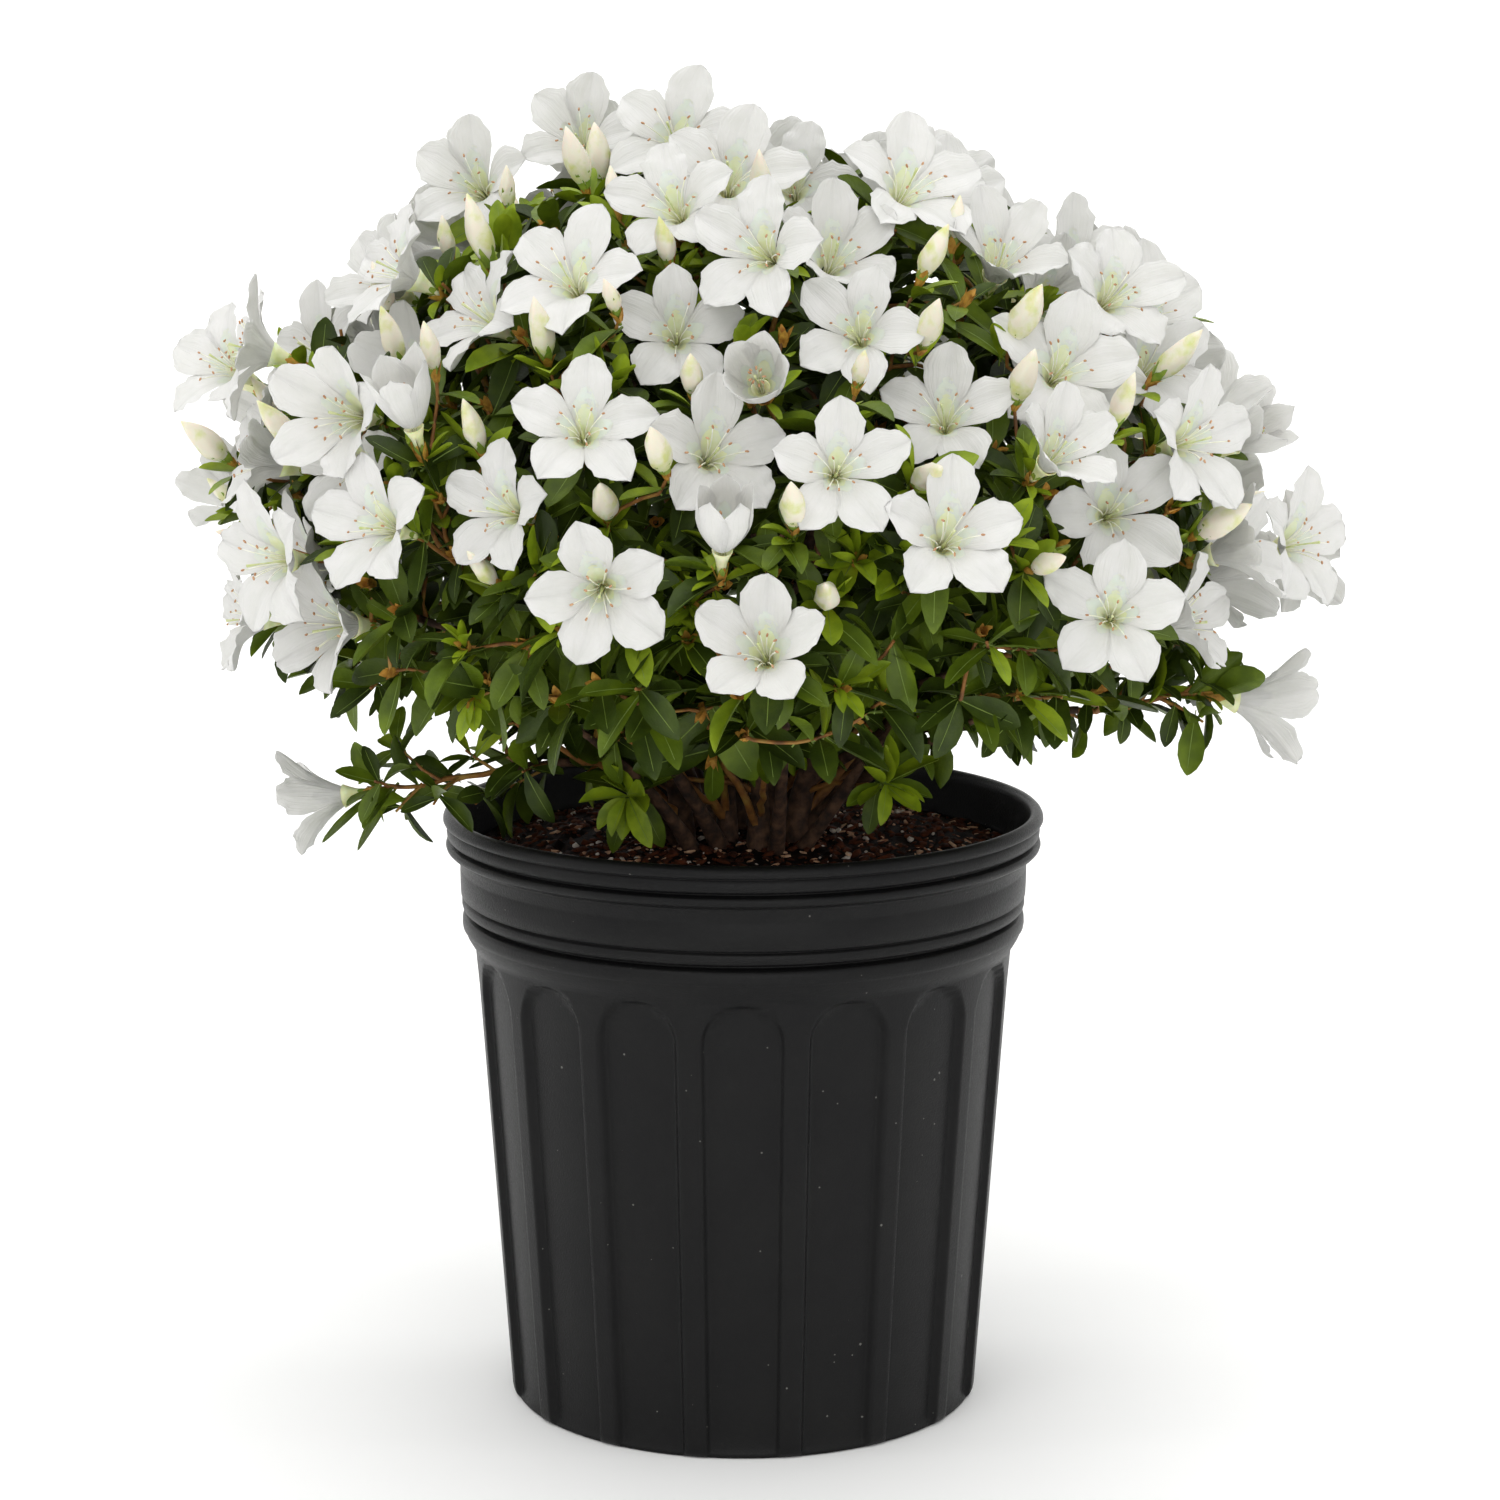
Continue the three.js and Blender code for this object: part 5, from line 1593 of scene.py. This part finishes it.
def chip_shapes(seed, flat):
    """Torn flat chips: small twenty-sided balls squashed and knocked about."""
    rng = np.random.default_rng(seed)
    shapes = []
    for _ in range(CHIP_KINDS):
        rows = [(0, 0, 1)]
        for height, offset in ((0.45, 0), (-0.45, 0.5)):
            turns = [2 * math.pi * (k + offset) / 5 for k in range(5)]
            rows += [(0.89 * math.sin(turn), 0.89 * math.cos(turn), height) for turn in turns]
        rows.append((0, 0, -1))
        faces = [[0, 1 + (k + 1) % 5, 1 + k] for k in range(5)]
        faces += [[1 + k, 1 + (k + 1) % 5, 6 + k] for k in range(5)]
        faces += [[6 + k, 1 + (k + 1) % 5, 6 + (k + 1) % 5] for k in range(5)]
        faces += [[11, 6 + k, 6 + (k + 1) % 5] for k in range(5)]
        corners = np.array(rows) * rng.uniform(0.75, 1.2, (12, 1)) * np.array(flat)
        shapes.append((corners, faces))
    return shapes


mix = link("mix_surface", mesh_of("mix_surface", *mix_mesh()))
mix.data.materials.append(MIX)

strew = strewn()
# Each kind of piece: its finish, its size each way, how many to the square metre, its seed, and the
# smallest and largest scale in millimetres
MIX_KINDS = {
    "mix_chips_dark": (CHIP, (1, 0.5, 0.3), 26000.0, 11, 1.0, 5.2),
    "mix_chips_tan": (CHIP_TAN, (1, 0.42, 0.26), 11000.0, 12, 0.8, 3.9),
    "mix_perlite": (PERLITE, (1, 0.75, 0.6), 4600.0, 13, 0.7, 2.3),
}
mix_pieces = [mix]
for name, (used, flat, density, seed, smallest, largest) in MIX_KINDS.items():
    given = {"pieces": shape_set(name + "_shapes", chip_shapes(seed, flat)), "density": density, "seed": seed}
    given |= {"smallest": smallest, "largest": largest, "finish": used}
    mix_pieces.append(grown(name, mesh_of(name + "_ground", *mix_disc()), strew, **given))


# The shrub grows

# How many of each are looked for: some find no room, and the shoots that would pierce a bloom fall out
MORE_BLOOMS = 31
BUDS = 72
TUFTS = 50
OUTER_SHOOTS = 290
INNER_SHOOTS = 240

rng = np.random.default_rng(5)
masses = [Mass(index, row) for index, row in enumerate(MASSES)]
blooms = place_blooms(masses)
limbs = grow_limbs(masses)


# How far the photographed blooms sway and nod, in degrees, how far those on the left turn further, and
# the height from which they turn to the front
SWAY = 9
NOD = 5
LEFT_TURN = 10
TOP_BLOOMS = 500


def as_photographed(blooms):
    """Small departures from the source's rule, which the photograph shows."""
    draws = np.random.default_rng(37)
    for bloom in blooms:
        sway, nod = draws.normal(0, SWAY), draws.normal(0, NOD)
        if bloom.mass.facing is not None or bloom.mass.leafy:
            continue
        # The blooms on the crown's top turn to the front, where the light comes from
        if bloom.place[2] > TOP_BLOOMS and bloom.place[1] < 40 and bloom.facing[1] > -0.2:
            front = np.array([0, 0.25 + abs(bloom.facing[1]), 0])
            bloom.facing = unit(bloom.facing * np.array([1, 0, 1]) - front)
        if bloom.place[1] < 0:
            left = bloom.place[0] < -40
            bloom.facing = turned(bloom.facing, UP, sway - (LEFT_TURN if left else 0))
            bloom.facing = unit(bloom.facing + UP * math.sin(math.radians(nod)))
        last_of = bloom.mass.name if bloom is bloom.mass.blooms[-1] else None
        if last_of == "top_left":
            bloom.place = bloom.place + UP * 18
        if last_of == "front_left":
            bloom.place = bloom.place + bloom.facing * 13 + UP * 4
        over = over_skyline(bloom.place[None])[0] + PETAL_RISE
        if over > OUTLINE_SLACK:
            bloom.place = bloom.place - UP * min(over, DEEPEST_DIP)
        if bloom.half_open:
            bloom.facing = unit(bloom.facing + 1.3 * UP)


as_photographed(blooms)
twigs = bloom_twigs(masses, rng)
open_blooms = [bloom for bloom in blooms if not bloom.mass.leafy]


def outwards(place, lift, spread, draws):
    """The way that a bloom, bud or shoot points: out of the crown and up, give or take a little."""
    return unit(crown_normal(place) + lift * UP + draws.normal(0, spread, 3))


class FillBloom:
    """A bloom that opens in a gap between those of the masses, and faces straight out."""

    def __init__(self, place, draws):
        self.place = place
        self.half_open = False
        lift = 0.25 if crown_normal(place)[2] < 0.6 else 0
        self.facing = outwards(place, lift, 0.16, draws)
        self.roll = draws.uniform(-0.5, 0.5)


def fill_blooms(count):
    """Further blooms where the crown is crowded with them: over its top and round its sides."""
    draws = np.random.default_rng(29)
    found = []
    for _ in range(30000):
        if len(found) >= count:
            break
        place = in_crown(unit(draws.normal(size=3)), draws.uniform(0.9, 0.95))
        if place[2] < FILL_TOP and (abs(place[0]) < FILL_OUT or place[2] < FILL_LOW):
            continue
        if place[1] < -FRONT_DEPTH and abs(place[0]) < FRONT_OUT:
            continue
        if nearest([other.place for other in open_blooms + found], place) < FILL_SPACING:
            continue
        bloom = FillBloom(place, draws)
        stand_behind(bloom, open_blooms + found)
        foot = bloom.place - bloom.facing * TUBE_DEPTH
        tubes = [other.place - other.facing * t for other in open_blooms + found for t in (0, 8, 16, 24)]
        if nearest(tubes, bloom.place) < FILL_ROOM or nearest(tubes, foot) < TUBE_ROOM:
            continue
        if not 0.8 <= crown_share(bloom.place[None])[0] <= 0.97 or not in_box(bloom.place, *FILL_BOX):
            continue
        if over_skyline(bloom.place[None])[0] + PETAL_RISE <= OUTLINE_SLACK:
            found.append(bloom)
    return found


more_blooms = fill_blooms(MORE_BLOOMS)
open_blooms = open_blooms + more_blooms
shades = BloomShades(open_blooms)

skeleton = Skeleton((0, 0, HEART[1]))
shares = np.linspace(0.12, 1, 24)
for limb in limbs.values():
    skeleton.add(limb.route.at(shares), limb.radius(shares))
for twig in twigs:
    skeleton.add(twig.points[1:-1], twig.radii[1:-1])


for bloom in more_blooms:
    twigs.append(grow_shoot(skeleton, bloom_calyx(bloom), bloom.facing, rng))
    bloom.twig = twigs[-1]


def bud_places(count, seed, others=()):
    """Where closed buds or tufts stand: in the gaps between blooms, near the crown's surface."""
    draws = np.random.default_rng(seed)
    places = []
    for _ in range(40000):
        if len(places) >= count:
            break
        place = in_crown(unit(draws.normal(size=3)), draws.uniform(0.88, 0.97))
        if place[2] < low_edge(place[None])[0] + BUD_OVER_EDGE:
            continue
        tip = place + unit(crown_normal(place) + BUD_LIFT * UP) * BUD_REACH
        if not in_box(tip) or over_skyline(tip[None])[0] > BUD_RISE:
            continue
        if shades.cover(place, *BUD_SHADE) or nearest(shades.places, place) > BLOOM_NEAR:
            continue
        if nearest(places, place) >= BUD_SPACING and nearest(others, place) >= TUFT_ROOM:
            places.append(place)
    return places


bud_tips = bud_places(BUDS, 17)
bud_twigs = []
for place in bud_tips:
    axis = outwards(place, BUD_LIFT, 0.18, rng)
    bud_twigs.append(grow_shoot(skeleton, place - axis * 4, axis, rng))

outer_tips = scatter_tips(rng, OUTER_SHOOTS, (0.8, 0.92), 23, shades, bud_tips)
inner_tips = scatter_tips(rng, INNER_SHOOTS, (0.35, 0.78), 24, shades, outer_tips)
shoots = []
for place in sorted(outer_tips + inner_tips, key=lambda p: np.linalg.norm(p - skeleton.heart)):
    axis = outwards(place, 0.5, 0.3, rng)
    shoots.append(grow_shoot(skeleton, place, axis, rng, 0.35))

# Tufts of young leaves push out between the blooms
tuft_rng = np.random.default_rng(53)
tuft_twigs = []
for place in bud_places(TUFTS, 19, bud_tips):
    axis = outwards(place, BUD_LIFT, 0.18, tuft_rng)
    tuft_twigs.append(grow_shoot(skeleton, place - axis * 12, axis, tuft_rng))


def pierces_bloom(twig):
    """Whether a shoot, with the leaf that ends it, runs through a bloom's face."""
    ahead, beside = shades.read(np.vstack([twig.points, twig.points[-1] + twig.axis(1) * 7]))
    near = (beside < BLOOM_RADIUS) & (np.abs(ahead) < 40)
    in_front = ahead > -1.5
    return np.any(near[1:] & near[:-1] & (in_front[1:] != in_front[:-1]))


shoots = [twig for twig in shoots if not pierces_bloom(twig)]
tuft_twigs = [twig for twig in tuft_twigs if not pierces_bloom(twig)]

def reach_shoots_of(mass):
    """Short leafy shoots along a low bough that reaches past the pot, and along its twig."""
    stations = [(mass.limb.route, share) for share in np.linspace(0.35, 0.95, 7)]
    stations += [(mass.twigs[0].route, share) for share in np.linspace(0.05, 0.75, 6)]
    made = []
    for k, (line, share) in enumerate(stations):
        start, along = line.at(share), line.tangent(share)
        side = turned(unit(np.cross(along, UP)), along, LEAF_TURN * k + rng.uniform(-20, 20))
        tip = start + unit(along + 0.9 * side + 0.15 * UP) * rng.uniform(12, 28)
        route = Route(start, unit(along + 0.5 * side), tip, unit(along + side))
        made.append(Twig(route, 0.9, 0.6, rng, bend=0.3, bare=0.2))
    return made


def foot_shoot(name, around):
    """A shoot with a bare foot that leaves a stem low down."""
    start = limbs[name].route.at(rng.uniform(0.02, 0.07))
    way = around + rng.uniform(-45, 45)
    tip = direction(way, 0) * rng.uniform(85, 150) + UP * rng.uniform(318, 352)
    leave = direction(way, rng.uniform(35, 60))
    route = Route(start, leave, tip, direction(way, 35))
    return Twig(route, rng.uniform(1.5, 2.4), 0.7, rng, bend=0.8, bare=0.55)


def splayed_shoot(around):
    """A thicker shoot with a bare foot that splays out of the mix itself."""
    start = direction(around, 0) * rng.uniform(20, 34) + UP * (MIX_TOP - 6)
    way = around + rng.uniform(-12, 12)
    tip = direction(way, 0) * rng.uniform(105, 150) + UP * rng.uniform(322, 352)
    route = Route(start, direction(way, rng.uniform(48, 62)), tip, direction(way, 30))
    return Twig(route, rng.uniform(3.0, 4.3), 1.0, rng, bend=0.7, bare=0.6)


reach_shoots, foot_shoots, splayed = [], [], []
for mass in masses:
    if mass.name in ("low_left", "low_right"):
        reach_shoots += reach_shoots_of(mass)
for name, (around, _, _) in STEMS.items():
    foot_shoots += [foot_shoot(name, around) for _ in range(2)]
for around in (-62, -38, -20, 24, 44, 66, 104, 150, 200, 252):
    splayed.append(splayed_shoot(around))

leaves = {kind: Sprouts() for kind in ("deep", "green", "new")}
sprig_leaves = {kind: Sprouts() for kind in leaves}
for mass in masses:
    for bloom, twig in zip(mass.blooms, mass.twigs):
        if mass.leafy:
            rosette(sprig_leaves["new"], bloom.place, bloom.facing, rng, 9, 24, 50)
            rosette(sprig_leaves["green"], bloom.place - bloom.facing * 8, bloom.facing, rng, 6, 27, 84)
        else:
            leaf_twig(twig, leaves, rng, 6, 30, young=0.06)
            rosette(leaves["new"], bloom_calyx(bloom) - bloom.facing * 5, bloom.facing, rng, 4, 17, 62)
for twig in bud_twigs:
    leaf_twig(twig, leaves, rng, 5, 28, young=0.3)
for bloom in more_blooms:
    leaf_twig(bloom.twig, leaves, rng, 5, 29, young=0.06)
    rosette(leaves["new"], bloom_calyx(bloom) - bloom.facing * 5, bloom.facing, rng, 4, 17, 62)
for twig in reach_shoots:
    leaf_twig(twig, sprig_leaves, rng, 4, 25, young=0.15, spacing=9)
for twig in foot_shoots + splayed:
    leaf_twig(twig, leaves, rng, 6, 28, young=0.05, spacing=13)
for twig in shoots:
    inner = crown_share(twig.points[-1:])[0] < 0.79
    leaf_twig(twig, leaves, rng, 6, 36 if inner else 29, young=0.0 if inner else 0.1)
    if rng.random() < 0.3:
        rosette(leaves["new"], twig.route.at(1), twig.axis(1), rng, 5, 17, 34)
for place, twig in zip(bud_tips, bud_twigs):
    rosette(leaves["new"], place - twig.axis(1) * 9, twig.axis(1), tuft_rng, 5, 21, 42)
for twig in tuft_twigs:
    leaf_twig(twig, leaves, tuft_rng, 4, 27, young=0.4)
    rosette(leaves["new"], twig.route.at(1), twig.axis(1), tuft_rng, 6, 24, 36)


def within_reach(sprouts):
    """Which leaves stay in the solids' box, under the skyline and above the bare foot of the stems."""
    (tips,) = sprouts.points(1)
    over_edge = tips[:, 2] > low_edge(tips, LEAF_EDGE)
    past_edge = np.hypot(tips[:, 0], tips[:, 1]) > EDGE_REACH
    return in_box(tips) & (over_edge | past_edge) & (over_skyline(tips) < LEAF_RISE)


def clear_of_buds(sprouts):
    """Which leaves stay out of the closed buds."""
    feet = np.array(bud_tips)
    axes = np.array([twig.axis(1) for twig in bud_twigs])
    good = True
    for points in sprouts.points(0.3, 0.55, 0.8, 1):
        apart = points[:, None] - feet[None]
        ahead = np.einsum("ijk,jk->ij", apart, axes)
        beside = np.linalg.norm(apart - ahead[:, :, None] * axes[None], axis=2)
        good = good & ~np.any((ahead > 2) & (ahead < BUD_LENGTH) & (beside < BUD_ROOM), axis=1)
    return good


def clear_of_pot(sprouts):
    """Which leaves neither reach down to the pot's rim nor into its mix."""
    good = True
    for points in sprouts.points(0, 0.5, 1):
        out = np.hypot(points[:, 0], points[:, 1])
        over_rim = points[:, 2] > RIM_TOP
        over_mix = (points[:, 2] > MIX_TOP + 3) & (out < RIM_INSIDE)
        good = good & (over_rim | (out > RIM_OUTSIDE) | over_mix)
    return good


for name, kind in leaves.items():
    kind.keep(clear_of_blooms(kind, shades) & within_reach(kind) & clear_of_buds(kind))
    sprig_leaves[name].keep(clear_of_blooms(sprig_leaves[name], shades) & clear_of_pot(sprig_leaves[name]))
    kind.rows += sprig_leaves[name].rows

setter = set_on_points()
foliage = []


def set_out(name, rows, shapes, used):
    """A piece of the foliage: the shapes of a set on the points of some rows, in a finish."""
    foliage.append(grown(name, points_mesh(name, rows), setter, shapes=shapes, finish=used))


blade_set = shape_set("leaf_blades", [leaf_blade(k) for k in range(LEAF_SHAPES)])
rib_set = shape_set("leaf_ribs", [leaf_rib(k) for k in range(LEAF_SHAPES)])
LEAF_FINISHES = {"deep": LEAF_DEEP, "green": LEAF_GREEN, "new": LEAF_NEW}
for kind, sprouts in leaves.items():
    set_out("leaves_" + kind, sprouts.rows, blade_set, LEAF_FINISHES[kind])
every_leaf = [row for sprouts in leaves.values() for row in sprouts.rows]
set_out("leaf_midribs", every_leaf, rib_set, MIDRIB)


# Blooms and buds set in place


def bloom_turn(bloom):
    """A bloom faces its way with its spotted petal uppermost, give or take its roll."""
    top = UP - (UP @ bloom.facing) * bloom.facing
    if np.linalg.norm(top) < 0.2:
        top = np.array([0.0, 1.0, 0.0]) - bloom.facing[1] * bloom.facing
    top = turned(unit(top), bloom.facing, bloom.roll * 40)
    return stand(np.cross(top, bloom.facing), bloom.facing)


# How far each kind of open flower's petals lean forwards, and those of the two that are still closed; the
# low ones beside the pot are trumpets
OPENINGS = [0.0, 3.0, 5.0, -2.0, 8.0, 1.0, 13.0, 2.0, 6.0]
CLOSED = [3.0, 9.0]
CLOSED_SHARE = 0.06
TRUMPET = OPENINGS.index(13.0)
LOW_BLOOMS = 335
flowers = [Flower(70 + k, lift) for k, lift in enumerate(OPENINGS)]
flowers += [Flower(90 + k, lift, closed=True) for k, lift in enumerate(CLOSED)]
bloom_rng = np.random.default_rng(23)
bloom_rows = []
for bloom in open_blooms:
    pick = int(bloom_rng.integers(len(OPENINGS)))
    if bloom_rng.random() < CLOSED_SHARE or bloom.half_open:
        pick = len(OPENINGS) + int(bloom_rng.integers(len(CLOSED)))
    if bloom.place[2] < LOW_BLOOMS:
        pick = TRUMPET
    size = bloom_rng.uniform(0.84, 1.0)
    bloom_rows.append((bloom.place, bloom_turn(bloom), (size,) * 3, pick))

FLOWER_FINISHES = {
    "petals": PETAL, "throats": THROAT, "throats_deep": THROAT_DEEP, "flower_tubes": TUBE,
    "filaments": FILAMENT, "anthers": ANTHER, "pistils": PISTIL, "sepals": SEPAL,
}


def parts_of(flower):
    """A flower's parts, each under the name of its piece."""
    threads, tips = flower.stamens()
    return {
        "petals": flower.petals(),
        "throats": flower.flush("pale"),
        "throats_deep": flower.flush("green"),
        "flower_tubes": flower.tube(),
        "filaments": threads,
        "anthers": flower.anthers(tips),
        "pistils": flower.pistil(),
        "sepals": sepals(),
    }


front_rows = [row for row in bloom_rows if row[0][1] < 0]
back_rows = [row for row in bloom_rows if row[0][1] >= 0]
flower_parts = [parts_of(flower) for flower in flowers]
for name, used in FLOWER_FINISHES.items():
    kinds = shape_set(name + "_kinds", [parts[name] for parts in flower_parts])
    # The petals are two pieces, to keep each one small
    sets = {"petals_front": front_rows, "petals_back": back_rows} if name == "petals" else {name: bloom_rows}
    for piece, rows in sets.items():
        set_out(piece, rows, kinds, used)

# Each kind of bud: its length and width
BUD_SIZES = [(26, 10.2), (29, 9.6), (22, 8.6), (26, 11.4), (18, 7.0)]
SCALE_SEEDS = (41, 42, 43)


def upright(axis):
    """A way across an axis, to turn a bud or a cluster of scales from."""
    return unit(np.cross(axis, UP + 0.01))


bud_rows = []
for place, twig in zip(bud_tips, bud_twigs):
    axis = twig.axis(1)
    size = bloom_rng.uniform(0.85, 1.1)
    turn = stand(turned(upright(axis), axis, bloom_rng.uniform(0, 360)), axis)
    bud_rows.append((place, turn, (size,) * 3, int(bloom_rng.integers(len(BUD_SIZES)))))
bodies = [bud_body(length, width, 1.1 + 0.3 * k, 90 + k) for k, (length, width) in enumerate(BUD_SIZES)]
cups = [bud_cup(width) for _, width in BUD_SIZES]
set_out("buds", bud_rows, shape_set("bud_kinds", bodies), BUD)
set_out("bud_cups", bud_rows, shape_set("cup_kinds", cups), SEPAL)

scale_rows = []


def set_scales(foot, turn, size):
    scale_rows.append((foot, turn, (size,) * 3, int(bloom_rng.integers(len(SCALE_SEEDS)))))


for bloom in open_blooms:
    if bloom_rng.random() < 0.75:
        set_scales(bloom.place - bloom.facing * (TUBE_DEPTH + 5), bloom_turn(bloom), 1.0)
for place, turn, _, _ in bud_rows:
    set_scales(place - np.array(turn @ Vector((0, 0, 5))), turn, 0.85)
for twig in shoots + tuft_twigs:
    if bloom_rng.random() < 0.6:
        axis = twig.axis(1)
        set_scales(twig.route.at(1) - axis * 4, stand(upright(axis), axis), 0.9)
set_out("bud_scales", scale_rows, shape_set("scale_kinds", [scales(k) for k in SCALE_SEEDS]), SCALE)


# Limbs and twigs

limb_lines = []
for limb in limbs.values():
    shares = np.linspace(0, 1, 56)
    points = limb.route.at(shares)
    points[0, 2] -= 6 if limb.flare > 0.3 else 0
    limb_lines.append((points, limb.radius(shares)))
for twig in splayed:
    shares = np.linspace(0, 1, 40)
    radii = np.interp(shares, twig.shares, twig.radii) * (1 + 0.3 * np.exp(-12 * shares))
    limb_lines.append((twig.route.at(shares), radii))
every_twig = twigs + bud_twigs + shoots + tuft_twigs + reach_shoots + foot_shoots
twig_lines = [(twig.points, twig.radii) for twig in every_twig]
# Sides round, height of the bark's relief, and how many of its ridges there are to the metre
BARK_FORM = {"sides": 14, "relief": 1.6 * MM, "grain": 150.0, "finish": BARK}
TWIG_FORM = {"sides": 5, "relief": 0.15 * MM, "grain": 400.0, "finish": TWIG}
sweep_tree = limbs_from_lines()
wood = grown("limbs_bark", lines_mesh("limbs_bark", limb_lines), sweep_tree, **BARK_FORM)
foliage.append(grown("twigs", lines_mesh("twigs", twig_lines), sweep_tree, **TWIG_FORM))


# What rides, and what it replaces

LIMB_NODES = list(STEMS) + ["bough_" + mass.name for mass in masses if mass.along != 1 and not mass.direct]
FOLIAGE_NODES = ["foliage_" + mass.name for mass in masses]
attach(pot, "root")
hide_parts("pot")
for piece in mix_pieces:
    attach(piece, "root")
    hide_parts("potting_mix")
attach(wood, "root")
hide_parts(*LIMB_NODES)
for piece in foliage:
    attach(piece, "root")
    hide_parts(*FOLIAGE_NODES)


# Studio

# A level floor that curves up into a wall behind, in metres
SWEEP_HALF = 60.0
SWEEP_START = 2.2
SWEEP_CURVE = 1.6
SWEEP_TOP = 7.0
turns = np.linspace(0, math.pi / 2, 24)
curve = [(SWEEP_START + SWEEP_CURVE * math.sin(t), SWEEP_CURVE * (1 - math.cos(t))) for t in turns]
sweep_profile = [(-SWEEP_HALF, 0.0)] + curve + [(SWEEP_START + SWEEP_CURVE, SWEEP_TOP)]
rows = len(sweep_profile)
sweep_corners = [(x / MM, y / MM, z / MM) for x in (-SWEEP_HALF, SWEEP_HALF) for y, z in sweep_profile]
sweep_faces = [[k, rows + k, rows + k + 1, k + 1] for k in range(rows - 1)]
floor = link("studio_sweep", mesh_of("studio_sweep", sweep_corners, sweep_faces))
floor.data.materials.append(SWEEP)


def soft_light(name, place, aim, size, power):
    """A soft lamp of a width and height, aimed at a point."""
    lamp = bpy.data.lights.new(name, "AREA")
    lamp.shape = "RECTANGLE"
    lamp.size, lamp.size_y = size
    lamp.energy = power
    made = link(name, lamp)
    made.location = place
    made.rotation_euler = (Vector(aim) - Vector(place)).to_track_quat("-Z", "Y").to_euler()


soft_light("key_light", (-1.3, -2.0, 2.6), (0, 0, 0.4), (1.4, 1.4), 15)
soft_light("front_fill", (0.3, -2.7, 0.9), (0, 0, 0.4), (2.4, 1.2), 13)
soft_light("top_light", (0.15, -0.6, 2.8), (0, 0, 0.45), (2.0, 2.0), 20)
soft_light("left_strip", (-2.0, -0.5, 0.8), (0, 0, 0.3), (0.3, 1.8), 3.6)
soft_light("right_strip", (2.0, -0.5, 0.8), (0, 0, 0.3), (0.3, 1.8), 3.2)
soft_light("backdrop_light", (0, 1.6, 3.4), (0, 3.6, 1.2), (4.0, 1.0), 70)

world = bpy.data.worlds.new("studio")
world.use_nodes = True
background = world.node_tree.nodes["Background"].inputs
background["Color"].default_value = (1, 1, 1, 1)
background["Strength"].default_value = 0.8
scene = bpy.context.scene
scene.world = world
scene.view_settings.view_transform = "Standard"

# The photograph's own view: from a little over the crown's middle, tipped down by some ten degrees
lens_data = bpy.data.cameras.new("camera")
lens_data.sensor_width = 36
lens_data.lens = 97.7
camera = link("camera", lens_data)
camera.location = VIEWPOINT * MM
camera.rotation_euler = (math.radians(79.65), 0, 0)
scene.camera = camera
